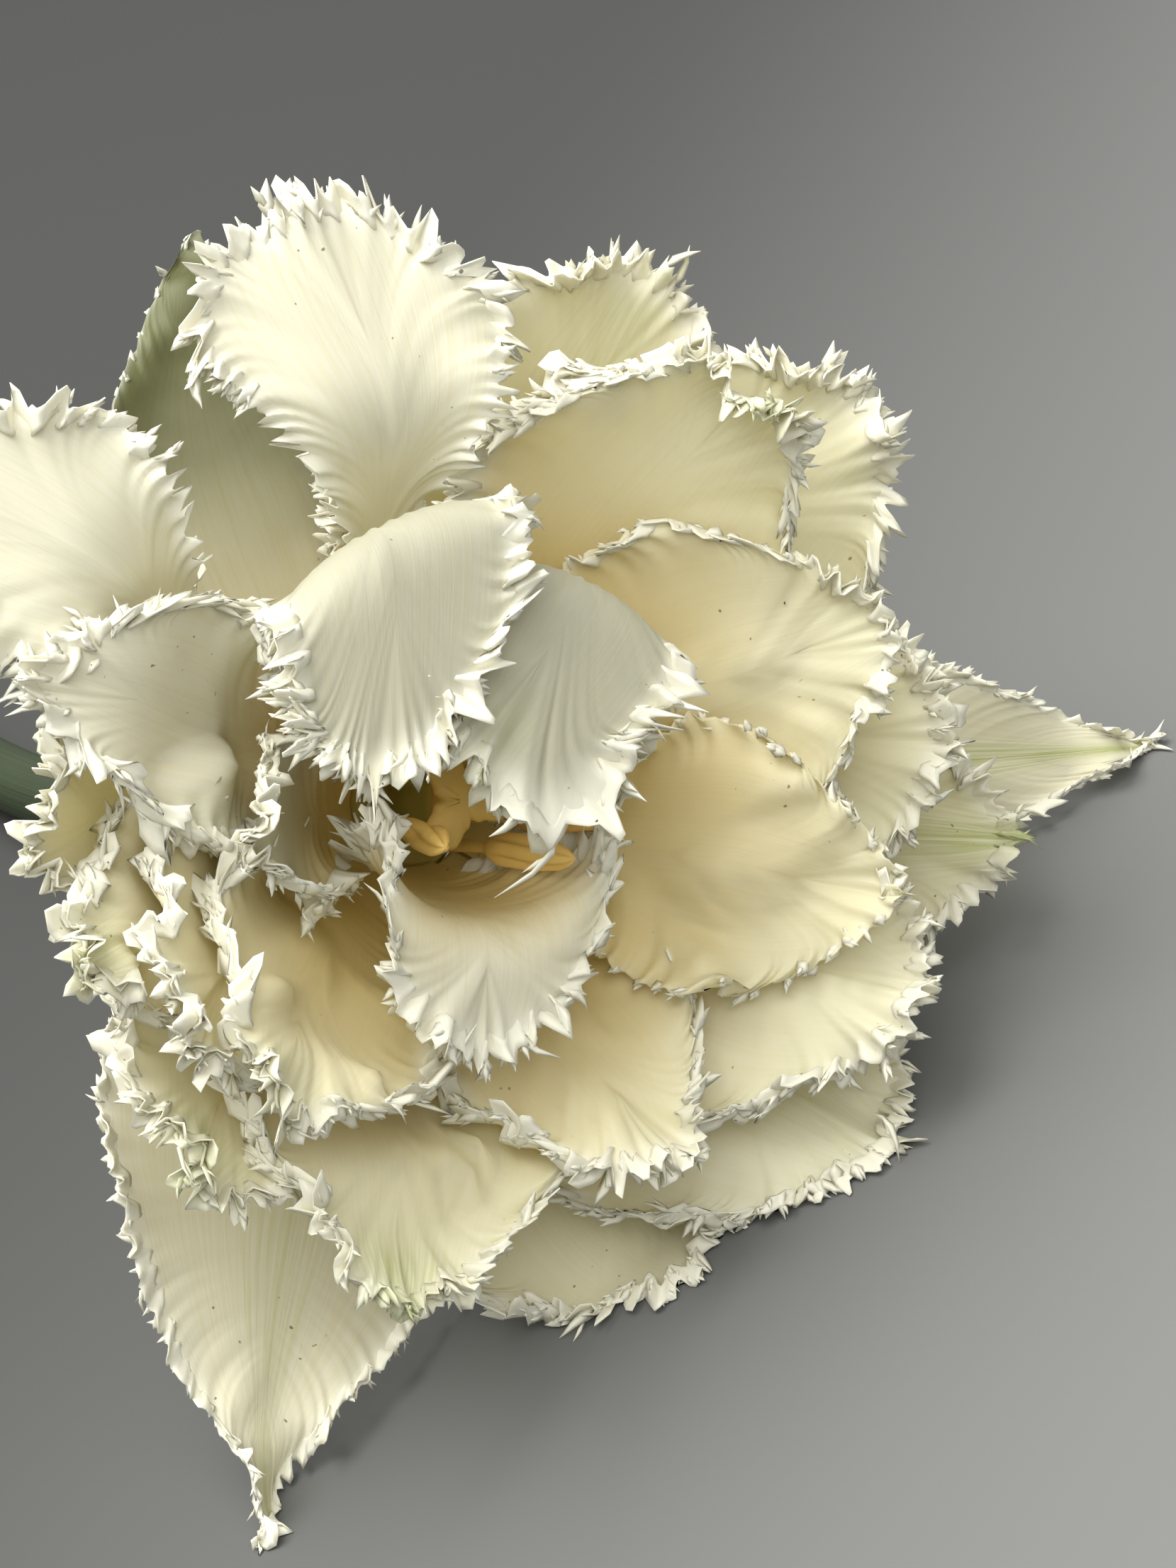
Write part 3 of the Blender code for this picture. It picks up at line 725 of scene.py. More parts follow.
@dataclass(frozen=True)
class Blade:
    """The fine sheet of a petal: spokes run from its spine to its rim, closer together towards the rim."""
    spoke_gap: float = 0.34  # between spokes at the rim
    rings: int = 11  # steps from spine to rim
    rim_bias: float = 1.75  # how much shorter they become towards the rim
    spine_share: float = 0.8  # where on the spine the tip's spoke starts
    thickness: float = 0.36
    rim_thickness: float = 0.22
    crimp_depth: float = 1.6  # how far in from the rim each kind of wave fades
    pleat_depth: float = 3.6
    apron_depth: float = 4.5
    serration: float = 1.7  # length of the sheet's own teeth
    serration_depth: float = 0.9
    white_depth: float = 2.6
    nudge: float = 0.004  # step in along and across from which normals are taken

    def spokes(self, petal: Petal) -> tuple[Array, Array, Array]:
        """Ends of the spokes on one half of the rim, evenly spaced, from the foot to the tip.

        Args:
            petal: the petal.

        Returns:
            Across and along of each end, and its distance along the rim from the tip.
        """
        walk = np.linspace(0, 1, 300)
        across = np.concatenate([np.ones_like(walk), 1 - walk[1:]])
        along = np.concatenate([walk, np.ones_like(walk[1:])])
        share = petal.share(along, across)
        line = np.stack([across * petal.width(share), share * petal.length], axis=1)
        run = np.concatenate([[0], np.cumsum(np.linalg.norm(np.diff(line, axis=0), axis=1))])
        even = np.linspace(0, run[-1], int(run[-1] / self.spoke_gap) + 1)
        return np.interp(even, run, across), np.interp(even, run, along), run[-1] - even

    def build(self, petal: Petal, layout: Layout, waves: Waves) -> tuple[Surface, Rim]:
        """Two faces a thickness apart, raised by waves that fade with the distance from the rim.

        The grid's first way runs from foot to tip and its second from the left rim over the spine to the
        right one; the tip's spoke is the same from both sides, so its points are kept once.

        Args:
            petal: the petal.
            layout: where all petals lie.
            waves: the petal's own waves.

        Returns:
            The closed sheet, and its rim for the fringe.
        """
        fray = FRAYS[petal.tissue]
        end_across, end_along, place = self.spokes(petal)
        steps = np.arange(-self.rings, self.rings + 1) / self.rings
        out = np.sign(steps) * (1 - (1 - np.abs(steps)) ** self.rim_bias)
        start = self.spine_share * np.linspace(0, 1, len(place))
        across = end_across[:, None] * out
        along = start[:, None] + (end_along - start)[:, None] * np.abs(out)
        place = place[:, None] * np.where(out < 0, -1.0, 1.0)
        share = petal.share(along, across)
        spoke = np.hypot(end_across * petal.width(petal.share(end_along, end_across)),
                         (end_along - start) * petal.length)
        depth = spoke[:, None] * (1 - np.abs(out))
        plain, normal = self.sheet(petal, layout, along, across)
        held = softened(share, 0.1, 0.42)
        drawn = petal.drawn_out(place)
        pleat, frill = waves.of(Ripple.PLEAT, place), waves.of(Ripple.FRILL, place)
        height = (fray.crimp * waves.crimp(place) * np.exp(-depth / self.crimp_depth)
                  + fray.pleat * (1 + drawn) * pleat * np.exp(-depth / self.pleat_depth)
                  + fray.frill * petal.folds * frill * np.exp(-depth / fray.depth)) * held
        outward = self.outward(plain)
        amount = (0.3 + 0.7 * petal.fringe) * held
        longer = (self.serration * fray.tooth * amount * waves.teeth(place, 0.45)
                  * np.exp(-depth / self.serration_depth)) + drawn * np.exp(-depth / self.apron_depth)
        middle = plain + normal * height[..., None] + outward * longer[..., None]
        middle[..., 2] = np.maximum(middle[..., 2], self.thickness / 2)
        rim = np.exp(-depth / self.white_depth) * amount
        half = normal * (self.thickness + (self.rim_thickness - self.thickness) * rim)[..., None] / 2
        points = np.concatenate([self.once(middle + half), self.once(middle - half)])
        points[:, 2] = np.maximum(points[:, 2], 0.0)
        index = np.arange(across.size).reshape(across.shape)
        index[-1] = index[-1, 0] + np.abs(np.arange(len(out)) - self.rings)
        sheet = petal.covered(points, shell_quads(index),
                              *[np.tile(self.once(grid), 2) for grid in (across, share, rim)])
        return sheet, Rim.of(middle, outward, normal, share, across, place)

    def sheet(self, petal: Petal, layout: Layout, along: Array, across: Array) -> tuple[Array, Array]:
        """Points and normals of the plain form, in the floor's frame.

        Args:
            petal: the petal.
            layout: where all petals lie.
            along, across: places on the petal.

        Returns:
            Points, and the normals towards the bloom's inside.
        """
        def at(up: float, aside: float) -> Array:
            """Points a little further along or across."""
            place = np.clip(along + up, 0, 1), np.clip(across + aside, -1, 1)
            return LIE.laid_down(layout.surface(petal, *place))

        rise = at(self.nudge, 0) - at(-self.nudge, 0)
        side = at(0, self.nudge) - at(0, -self.nudge)
        return at(0, 0), unit(np.cross(rise, side))

    def outward(self, plain: Array) -> Array:
        """Directions along the spokes, away from the spine."""
        away = np.where(np.arange(plain.shape[1]) < self.rings, -1.0, 1.0)
        return unit(np.gradient(plain, axis=1) * away[:, None])

    def once(self, values: Array) -> Array:
        """The grid's values as a list in which the tip's spoke comes once."""
        return np.concatenate([values[:-1].reshape(-1, *values.shape[2:]), values[-1, self.rings:]])


SPIKE_CLEARANCE = 0.1  # kept over the floor
SPIKE_PROFILE = (  # share of the length, width, thickness, and how far it is rim
    (0.0, 0.35, 0.4, 0.65), (0.32, 1.0, 1.0, 0.9), (0.68, 0.6, 0.7, 1.0), (1.0, 0.04, 0.2, 1.0),
)


@dataclass
class Spikes:
    """Flat, tapered, curved spikes; one row, or one number in a column, for each."""
    root: Array
    heading: Array
    curl: Array
    face: Array  # direction roughly square to the flat side
    length: Array
    width: Array
    thickness: Array

    def along(self, share: Array) -> Array:
        """Centre points at shares of each length: straight ahead, plus the curl by the share's square."""
        return self.root + self.heading * (self.length * share) + self.curl * (self.length * share ** 2)

    def ahead(self, share: Array) -> Array:
        """Headings at shares of each length."""
        return unit(self.heading + 2 * self.curl * share)

    def surface(self, petal: Petal, place: Rim, steps: int = 4) -> Surface:
        """Four-sided closed spikes that narrow to a point and keep off the floor.

        Args:
            petal: the petal on which they grow.
            place: the rim where each is rooted.
            steps: rings of each spike.

        Returns:
            All spikes as one surface.
        """
        *form, white = carried(SPIKE_PROFILE, steps)
        shares, wide_at, thick_at = [values[:, None, None] for values in form]
        centre, ahead = self.along(shares), self.ahead(shares)
        wide = unit(np.cross(self.face, ahead))
        thick = np.cross(ahead, wide) * (self.thickness * thick_at / 2)
        wide = wide * (self.width * wide_at / 2)
        points = np.stack([centre + wide, centre + thick, centre - wide, centre - thick], axis=2)
        points = points.swapaxes(0, 1)
        low = points[..., 2].min(axis=(1, 2), keepdims=True)
        points[..., 2] += np.maximum(SPIKE_CLEARANCE - low, 0.0)
        index = np.arange(points[..., 0].size).reshape(points.shape[:3])
        quads = np.concatenate([tube_quads(index), index[:, 0, ::-1], index[:, -1, :]])
        across, share = [np.repeat(values, steps * 4) for values in (place.across, place.share)]
        return petal.covered(points.reshape(-1, 3), quads, across, share,
                             np.tile(np.repeat(white, 4), len(points)))


@dataclass(frozen=True)
class Ruffle:
    """A narrow toothed strip rooted on one face of the rim, which doubles the sheet's own margin."""
    gap: float = 0.31  # between its rows
    columns: int = 5
    sunk: float = 1.6  # how far in from the rim it is rooted
    length: float = 1.45
    stand: float = 0.5  # how far it leans off the sheet, for its length
    crimp: float = 0.75
    splay: float = 0.5
    thickness: float = 0.22
    clearance: float = 0.05  # kept over the floor

    def surface(self, petal: Petal, rim: Rim, side: int, waves: Waves) -> Surface:
        """The strip: rows along the rim; out of it, off it and aside by powers of the way from the root.

        Args:
            petal: the petal on which it grows.
            rim: the petal's rim.
            side: 1 on the inner face, -1 on the outer one.
            waves: the strip's own waves.

        Returns:
            The closed strip.
        """
        first, last = rim.fringed(petal)
        place = np.linspace(first, last, int((last - first) / self.gap))
        at, full = rim.at(place), waves.full(place)
        grow = at.grown(petal) * (0.2 + 0.8 * petal.fringe)
        teeth = 0.15 + waves.teeth(place, 0.4)
        length = self.sunk + self.length * FRAYS[petal.tissue].tooth * grow * (0.3 + 0.7 * full) * teeth
        along = np.linspace(0, 1, self.columns)
        out = length[:, None] * along - self.sunk
        off = side * self.stand * (0.6 + 0.4 * full)[:, None] * (length[:, None] * along ** 1.5)
        off = off + self.crimp * (waves.crimp(place) * grow)[:, None] * along ** 2
        aside = self.splay * waves.of(Ripple.FRILL, place)[:, None] * along ** 2
        middle = (at.points[:, None] + at.outward[:, None] * out[..., None]
                  + at.normal[:, None] * off[..., None] + at.tangent[:, None] * aside[..., None])
        face = unit(np.cross(np.gradient(middle, axis=0), np.gradient(middle, axis=1)))
        half = face * (self.thickness / 2 * (1 - 0.4 * along))[:, None]
        points = np.concatenate([middle + half, middle - half]).reshape(-1, 3)
        points[:, 2] = np.maximum(points[:, 2], self.clearance)
        across, share = [np.tile(np.repeat(values, self.columns), 2) for values in (at.across, at.share)]
        return petal.covered(points, shell_quads(np.arange(out.size).reshape(out.shape)), across, share,
                             np.tile(0.6 + 0.4 * along, 2 * len(place)))


@dataclass(frozen=True)
class Fringe:
    """The crystalline fringe: teeth on the crimped rim, smaller ones on both faces, and ruffles."""
    spacing: float = 1.7
    length: float = 2.1
    width: float = 1.25
    thickness: float = 0.2
    thin: float = 0.18  # thickness of the smaller teeth
    sunk: float = 0.9
    sway: float = 5.3  # length over which the teeth lean to and fro along the rim
    splay: float = 0.3
    toss: float = 0.38
    long_share: float = 0.06  # of teeth that are drawn out
    long_by: float = 1.6
    few: int = 3  # rings of a small spike
    ruffle: Ruffle = Ruffle()

    def grow(self, petal: Petal, rim: Rim, waves: Waves, rng: Draws) -> Surface:
        """Teeth along the rim: their length, lean and curl follow the rim's waves and a random part.

        Args:
            petal: the petal whose rim it is.
            rim: the rim.
            waves: the petal's own waves.
            rng: source of the random part.

        Returns:
            All the fringe of this petal.
        """
        fray = FRAYS[petal.tissue]
        first, last = rim.fringed(petal)
        count = int((last - first) / self.spacing)
        place = np.linspace(first, last, count) + rng.uniform(-0.35, 0.35, count) * self.spacing
        at = rim.at(np.clip(place, first, last))
        teeth = self.teeth(petal, at, waves, rng)
        parts = [teeth.surface(petal, at)]
        parts.extend(self.ruffle.surface(petal, rim, side, Waves.drawn(rng))
                     for side in (1, -1)[:round(fray.layers * petal.fringe)])
        parts.append(self.barbed(teeth, rng).surface(petal, at, self.few))
        beside = rim.at(rng.uniform(first, last, int(count * fray.second * petal.fringe)))
        parts.append(self.beside(fray, beside, waves, rng).surface(petal, beside, self.few))
        return Surface.joined(parts)

    def teeth(self, petal: Petal, at: Rim, waves: Waves, rng: Draws) -> Spikes:
        """The main teeth, which lean off the sheet to the side of the crimp that they crown.

        Args:
            petal: the petal whose rim it is.
            at: the rim where each is rooted.
            waves: the petal's own waves.
            rng: source of the random part.

        Returns:
            The teeth.
        """
        fray, each = FRAYS[petal.tissue], (len(at.place), 1)
        place, grow, tangent = at.place[:, None], at.grown(petal)[:, None], at.tangent
        length = (self.length * fray.tooth * (0.45 + 0.55 * waves.full(place))
                  * (1 + 0.35 * waves.of(Ripple.LOBE, place)) * rng.uniform(0.5, 1.3, each))
        length = length * np.where(rng.random(each) < self.long_share, self.long_by, 1.0) * (0.4 + 0.6 * grow)
        length = length * (0.3 + 0.7 * petal.fringe) + 0.3 * petal.drawn_out(place)
        sway = np.sin(2 * np.pi * place / self.sway + waves.phase[3])
        splay = self.splay * (sway + rng.normal(0, 0.6, each))
        toss = self.toss * fray.toss * (waves.crimp(place) + rng.normal(0, 0.55, each))
        heading = unit(at.outward + tangent * splay + at.normal * toss)
        curl = at.normal * (rng.normal(0, 0.4, each) - 0.5 * toss) + tangent * rng.normal(0, 0.42, each)
        face = unit(at.normal + at.outward * rng.normal(0, 0.3, each) + tangent * rng.normal(0, 0.5, each))
        width = self.width * fray.wide * rng.uniform(0.65, 1.3, each) * (0.5 + 0.5 * grow)
        return Spikes(at.points - at.outward * self.sunk, heading, curl, face, length + self.sunk, width,
                      self.thickness * rng.uniform(0.8, 1.3, each))

    def barbed(self, teeth: Spikes, rng: Draws) -> Spikes:
        """One smaller spike on the side of every tooth, half folded against it.

        Args:
            teeth: the teeth.
            rng: source of the random part.

        Returns:
            The smaller spikes.
        """
        each = teeth.length.shape
        share = rng.uniform(0.2, 0.55, each)
        ahead = teeth.ahead(share)
        aside = unit(np.cross(teeth.face, ahead)) * np.where(rng.random(each) < 0.5, -1, 1)
        heading = unit(ahead + aside * rng.uniform(0.2, 0.6, each) + teeth.face * rng.normal(0, 0.4, each))
        curl = teeth.face * rng.normal(0, 0.3, each) + ahead * rng.uniform(0, 0.3, each)
        length = teeth.length * rng.uniform(0.3, 0.55, each) + 0.2
        return Spikes(teeth.along(share) - ahead * 0.2, heading, curl, teeth.face, length,
                      teeth.width * rng.uniform(0.45, 0.7, each), teeth.thickness * 0.8)

    def beside(self, fray: Fray, near: Rim, waves: Waves, rng: Draws) -> Spikes:
        """Smaller teeth rooted on either face close to the rim, which thicken the fringe.

        Args:
            fray: how the tissue is fringed.
            near: the rim near which each is rooted.
            waves: the petal's own waves.
            rng: source of the random part.

        Returns:
            The smaller teeth.
        """
        each, tangent = (len(near.place), 1), near.tangent
        side = np.sign(waves.crimp(near.place[:, None]) + rng.normal(0, 0.5, each))
        off = side * rng.uniform(0.1, 0.6, each) * fray.toss
        heading = unit(near.outward + near.normal * off + tangent * rng.normal(0, 0.35, each))
        root = near.points - near.outward * rng.uniform(0.0, 1.9, each)
        curl = near.normal * (-0.5 * off) + tangent * rng.normal(0, 0.4, each)
        face = unit(near.normal + tangent * rng.normal(0, 0.5, each) - near.outward * off * 0.5)
        grow = 0.4 + 0.6 * softened(near.share, 0.2, 0.6)[:, None]
        return Spikes(root, heading, curl, face, rng.uniform(0.7, 2.0, each) * grow * fray.tooth,
                      self.width * fray.wide * rng.uniform(0.4, 0.75, each), np.full(each, self.thin))


# Shaders


class Value:
    """A shader socket that can stand in sums and products."""

    def __init__(self, tree: "Tree", socket: bpy.types.NodeSocket) -> None:
        """Keep the tree and the socket."""
        self.tree, self.socket = tree, socket

    def _math(self, operation: str, *terms: "Value | float") -> "Value":
        """A Math node over its terms."""
        return self.tree.node("ShaderNodeMath", {"operation": operation}, dict(enumerate(terms)))

    def __add__(self, other: "Value | float") -> "Value":
        """Sum."""
        return self._math("ADD", self, other)

    __radd__ = __add__

    def __mul__(self, other: "Value | float") -> "Value":
        """Product."""
        return self._math("MULTIPLY", self, other)

    __rmul__ = __mul__

    def __sub__(self, other: "Value | float") -> "Value":
        """Difference."""
        return self._math("SUBTRACT", self, other)

    def __rsub__(self, other: float) -> "Value":
        """A number less this value."""
        return self._math("SUBTRACT", other, self)

    def eased(self, low: float, high: float, start: float = 0.0, end: float = 1.0) -> "Value":
        """Smooth step of this value from start at low to end at high."""
        inputs = {"Value": self, "From Min": low, "From Max": high, "To Min": start, "To Max": end}
        return self.tree.node("ShaderNodeMapRange", {"interpolation_type": "SMOOTHSTEP"}, inputs, "Result")


class Tree:
    """A material's nodes."""

    def __init__(self, name: str) -> None:
        """Start an empty material.

        Args:
            name: the material's name.
        """
        self.material = bpy.data.materials.new(name)
        self.material.use_nodes = True
        self.nodes, self.links = self.material.node_tree.nodes, self.material.node_tree.links
        self.nodes.clear()

    def node(self, kind: str, settings: dict[str, str], inputs: dict[str | int, object],
             output: str | int = 0) -> Value:
        """Make a node.

        Args:
            kind: its type.
            settings: properties, set first.
            inputs: numbers, colours or values for its sockets, by name or number.
            output: the output to go on with, by name or number.

        Returns:
            That output.
        """
        made = self.nodes.new(kind)
        for key, setting in settings.items():
            setattr(made, key, setting)
        for key, given in inputs.items():
            if isinstance(given, Value):
                self.links.new(given.socket, made.inputs[key])
            else:
                made.inputs[key].default_value = given
        return Value(self, made.outputs[output])

    def mix(self, factor: Value | float, first: Value | Colour, second: Value | Colour,
            blend: str = "MIX") -> Value:
        """Mix of two colours.

        Args:
            factor: share of the second.
            first, second: the colours.
            blend: how they are mixed.

        Returns:
            The mixed colour.
        """
        first, second = [(*tone, 1) if isinstance(tone, tuple) else tone for tone in (first, second)]
        settings = {"data_type": "RGBA", "blend_type": blend}
        return self.node("ShaderNodeMix", settings, {0: factor, 6: first, 7: second}, 2)

    def measure(self, name: str) -> Value:
        """A measure kept on the mesh's points."""
        return self.node("ShaderNodeAttribute", {"attribute_name": name}, {}, "Fac")

    def streaks(self, scale: Triple, rough: float) -> Value:
        """Noise over the piece's flat place, stretched along it."""
        both = {0: self.node("ShaderNodeUVMap", {"uv_map": "flat"}, {}), 1: scale}
        return self.noise(self.node("ShaderNodeVectorMath", {"operation": "MULTIPLY"}, both), 1.0, 3.0, rough)

    def noise(self, place: Value, scale: float, detail: float = 2.0, rough: float = 0.5) -> Value:
        """Smooth noise between 0 and 1."""
        inputs = {"Vector": place, "Scale": scale, "Detail": detail, "Roughness": rough}
        return self.node("ShaderNodeTexNoise", {}, inputs, "Fac")

    def object_place(self) -> Value:
        """Object coordinates, which are the floor's frame in metres."""
        return self.node("ShaderNodeTexCoord", {}, {}, "Object")

    def bump(self, height: Value, strength: float, distance: float) -> Value:
        """A normal pushed about by a height."""
        inputs = {"Height": height, "Strength": strength, "Distance": distance}
        return self.node("ShaderNodeBump", {}, inputs)

    def shader(self, tone: Value, roughness: Value | float, **others: Value | float) -> Value:
        """A Principled shader; other sockets' names have low lines for their spaces."""
        more = {name.replace("_", " "): given for name, given in others.items()}
        return self.node("ShaderNodeBsdfPrincipled", {}, {"Base Color": tone, "Roughness": roughness, **more})

    def finish(self, shader: Value) -> bpy.types.Material:
        """Join a shader to the material's output."""
        self.links.new(shader.socket, self.nodes.new("ShaderNodeOutputMaterial").inputs["Surface"])
        return self.material


@dataclass(frozen=True)
class PetalFinish:
    """Satin petal tissue: cream, warm towards the foot, white at the rim, green where the mesh says so."""
    name: str
    cream: Colour = (0.93, 0.92, 0.71)
    foot: Colour = (0.94, 0.75, 0.29)
    foot_to: float = 42.0  # reach at which the warm tone has faded
    rim: Colour = (0.95, 0.935, 0.79)
    green: Colour = (0.40, 0.47, 0.13)
    vein: Colour = (0.93, 0.89, 0.74)
    veins: float = 0.3  # strength of the streaks
    speck: Colour = (0.13, 0.10, 0.05)
    specks: float = 0.85
    through: float = 0.4  # share of light that passes through
    glow: Colour = (0.96, 0.88, 0.58)
    roughness: float = 0.48

    def material(self) -> bpy.types.Material:
        """Build the nodes.

        Returns:
            The material.
        """
        tree = Tree(self.name)
        place = tree.object_place()
        reach, rim, green = [tree.measure(name) for name in ("reach", "rim", "green")]
        streaks = tree.streaks((70.0, 3.5, 1.0), 0.65)
        cloud = tree.noise(place, 60.0, 1.0)
        warm = (reach + cloud * 16.0).eased(12.0, self.foot_to + 8.0, 1.0, 0.0)
        tone = tree.mix(warm, self.cream, self.foot)
        tone = tree.mix(streaks.eased(0.42, 0.7) * self.veins, tone, self.vein, "MULTIPLY")
        tone = tree.mix(green * streaks.eased(0.3, 0.62), tone, self.green)
        tone = tree.mix(rim.eased(0.2, 0.8) * (1 - green * 1.1), tone, self.rim)
        dots = tree.noise(place, 1700.0, 0.0).eased(0.83, 0.86)
        where = tree.noise(place, 75.0, 0.0).eased(0.5, 0.6)
        tone = tree.mix(dots * where * self.specks, tone, self.speck)
        body = tree.shader(tone, streaks * 0.16 + (self.roughness - 0.08), Specular_IOR_Level=0.4,
                           Normal=tree.bump(streaks, 0.2, 0.0002))
        passing = tree.node("ShaderNodeBsdfTranslucent", {}, {"Color": (*self.glow, 1)})
        both = {0: (1 - rim * 0.6) * self.through, 1: body, 2: passing}
        return tree.finish(tree.node("ShaderNodeMixShader", {}, both))


FINISHES = {
    Tissue.TEPAL: PetalFinish("petal_pointed", (0.86, 0.84, 0.66), (0.56, 0.54, 0.22), 32.0, veins=0.6,
                              green=(0.38, 0.44, 0.12), through=0.3),
    # painted shade: the dark olive body colour is partly the tepal's own green and partly painted shade; its
    # foot stays pale
    Tissue.OLIVE: PetalFinish("petal_olive_painted_shade", (0.14, 0.15, 0.06), (0.84, 0.80, 0.60), 40.0, veins=0.6,
                              rim=(0.78, 0.78, 0.66), through=0.1),
    Tissue.BACK: PetalFinish("petal_outer", (0.88, 0.86, 0.64), (0.72, 0.66, 0.26)),
    Tissue.FAN: PetalFinish("petal_fan", (0.84, 0.83, 0.68), foot_to=27.0, veins=0.5, through=0.3),
    Tissue.CUP: PetalFinish("petal_cup"),
    # painted shade: this cream is a darker copy of the cup's, standing for the shade on and under the hoods
    Tissue.HEART: PetalFinish("petal_heart_painted_shade", (0.60, 0.595, 0.47), foot_to=23.0, specks=1.0, through=0.3),
}


@dataclass(frozen=True)
class StemFinish:
    """Waxy dark green with fine lengthwise lines; the cut end is paler."""
    name: str = "stem_skin"
    green: Colour = (0.022, 0.034, 0.012)
    pale: Colour = (0.36, 0.43, 0.22)
    head: Colour = (0.46, 0.37, 0.08)

    def material(self) -> bpy.types.Material:
        """Build the nodes.

        Returns:
            The material.
        """
        tree = Tree(self.name)
        reach, rim = tree.measure("reach"), tree.measure("rim")
        lines = tree.streaks((60.0, 3.0, 1.0), 0.6)
        place = tree.object_place()
        blotch = tree.noise(place, 45.0, 4.0)
        tone = tree.mix(lines.eased(0.3, 0.8) * 0.5 + blotch.eased(0.4, 0.8) * 0.35, self.green,
                        tuple(1.9 * c for c in self.green))
        tone = tree.mix(reach.eased(8.0, 34.0, 1.0, 0.0), tone, self.head)
        tone = tree.mix(rim, tone, self.pale)
        grain = tree.noise(place, 1500.0)
        return tree.finish(tree.shader(tone, blotch * 0.2 + 0.38, Specular_IOR_Level=0.4,
                                       Normal=tree.bump(lines + grain * 0.3, 0.4, 0.0003)))


@dataclass(frozen=True)
class GrainFinish:
    """Matte, slightly grainy tissue of stamens and pistil."""
    name: str
    main: Colour
    tip: Colour
    over: tuple[float, float]  # reaches between which the main tone turns to the tip's

    def material(self) -> bpy.types.Material:
        """Build the nodes.

        Returns:
            The material.
        """
        tree = Tree(self.name)
        place = tree.object_place()
        grain, cloud = tree.noise(place, 900.0, 2.0, 0.6), tree.noise(place, 160.0, 1.0)
        tone = tree.mix(tree.measure("reach").eased(*self.over), self.main, self.tip)
        tone = tree.mix(cloud.eased(0.4, 0.7) * 0.4, tone, tuple(0.7 * c for c in self.main))
        return tree.finish(tree.shader(tone, grain * 0.25 + 0.42, Normal=tree.bump(grain, 0.5, 0.0002)))


@dataclass(frozen=True)
class FloorFinish:
    """Plain pale matte floor with painted shade: a little darker to the back left, as falling light would
    make it.
    """
    name: str = "floor"
    # near is the floor's own colour; far is the darker colour of the painted shade towards the back left
    near: Colour = (0.196, 0.2, 0.195)
    far: Colour = (0.048, 0.0495, 0.0465)
    towards: Triple = (-0.46, 0.89, 0.0)
    over: tuple[float, float] = (-0.10, 0.14)  # metres that way between which the painted shade darkens it

    def material(self) -> bpy.types.Material:
        """Build the nodes.

        Returns:
            The material.
        """
        tree = Tree(self.name)
        places = {0: tree.object_place(), 1: self.towards}
        far = tree.node("ShaderNodeVectorMath", {"operation": "DOT_PRODUCT"}, places, "Value")
        # painted shade: the colour runs from near to far along the direction towards the back left
        return tree.finish(tree.shader(tree.mix(far.eased(*self.over), self.near, self.far), 0.85))


# Sub-assemblies


@dataclass
class Bloom:
    """All petals, each a sheet with its fringe."""
    layout: Layout
    blade: Blade = field(default_factory=Blade)
    fringe: Fringe = field(default_factory=Fringe)

    def build(self) -> None:
        """Make every petal and dress it by its tissue."""
        materials = {tissue: finish.material() for tissue, finish in FINISHES.items()}
        for seed, petal in enumerate(self.layout.petals, start=100):
            rng = np.random.default_rng(seed)
            waves = Waves.drawn(rng)
            sheet, rim = self.blade.build(petal, self.layout, waves)
            surface = Surface.joined([sheet, self.fringe.grow(petal, rim, waves, rng)])
            surface.piece(f"{petal.name}_fine", materials[petal.tissue], [petal.name], "petal")


@dataclass
class Stem:
    """Receptacle, swelling and stem in one turned body."""
    radius: float = 4.2
    straight: float = 62.0
    bend: float = 90.0
    lying: float = 55.0
    step: float = 2.0
    sideways: float = 9.0
    swell: float = 16.0  # length of the swelling under the receptacle
    seat: float = 0.3  # how far the receptacle stays inside the petals' feet
    sides: int = 48
    slant: float = 0.25  # of the cut end
    lip: float = 0.93  # radius of the cut face inside its rounded edge
    bulge: float = 0.25  # how far the cut face stands out

    def path(self) -> Array:
        """Centre line: the fall eases out over the bend, and the last stretch lies on the floor.

        Returns:
            Its points in the floor's frame.
        """
        run = np.arange(0, self.straight + self.bend + self.lying, self.step)
        fall = math.radians(LIE.pitch) * (1 - np.clip((run - self.straight) / self.bend, 0, 1))
        drop, along = walked(fall, self.step)
        rest = LIE.bloom_at[2] - self.radius
        path = np.stack([self.sideways * (run / run[-1]) ** 3, along, -drop * rest / drop[-1]], axis=1)
        return path + np.array(LIE.bloom_at)

    def build(self) -> None:
        """Turn the profile round the path and cut the end at a slant."""
        heights = np.concatenate([np.linspace(RECEPTACLE.top, 0, 12), np.linspace(-0.8, -self.swell, 12)])
        cone = RECEPTACLE.foot_radius - RECEPTACLE.radius_step / RECEPTACLE.rise_step * heights - self.seat
        below = np.interp(-heights, [0, 3, 7, self.swell], [4.75, 3.8, 2.0, 0.4]) + self.radius
        below = np.minimum(below, RECEPTACLE.foot_radius - self.seat)
        head = LIE.laid_down(heights[:, None] * UPRIGHT)
        path = self.path()
        beyond = np.linalg.norm(path - np.array(LIE.bloom_at), axis=1) > self.swell + 3
        centres = np.concatenate([head, path[beyond]])
        radius = np.concatenate([np.where(heights >= 0, cone, below), np.full(beyond.sum(), self.radius)])
        rings = rings_round(centres, radius, radius, np.array([1.0, 0.0, 0.0]), self.sides)
        rings[-1, :, 1] += self.slant * (rings[-1, :, 2] - centres[-1, 2])
        face = centres[-1] + (rings[-1] - centres[-1]) * self.lip
        rings = np.concatenate([rings, face[None]])
        centres = np.concatenate([centres, centres[-1:] - np.array([[0, self.bulge, 0]])])
        reach = np.concatenate([[0], np.cumsum(np.linalg.norm(np.diff(centres, axis=0), axis=1))])
        surface = swept(rings, reach)
        surface.rim[-self.sides:] = 1.0
        surface.points[:, 2] = np.maximum(surface.points[:, 2], 0.0)
        surface.piece("stem_fine", StemFinish().material(), ["stem"], "stem")


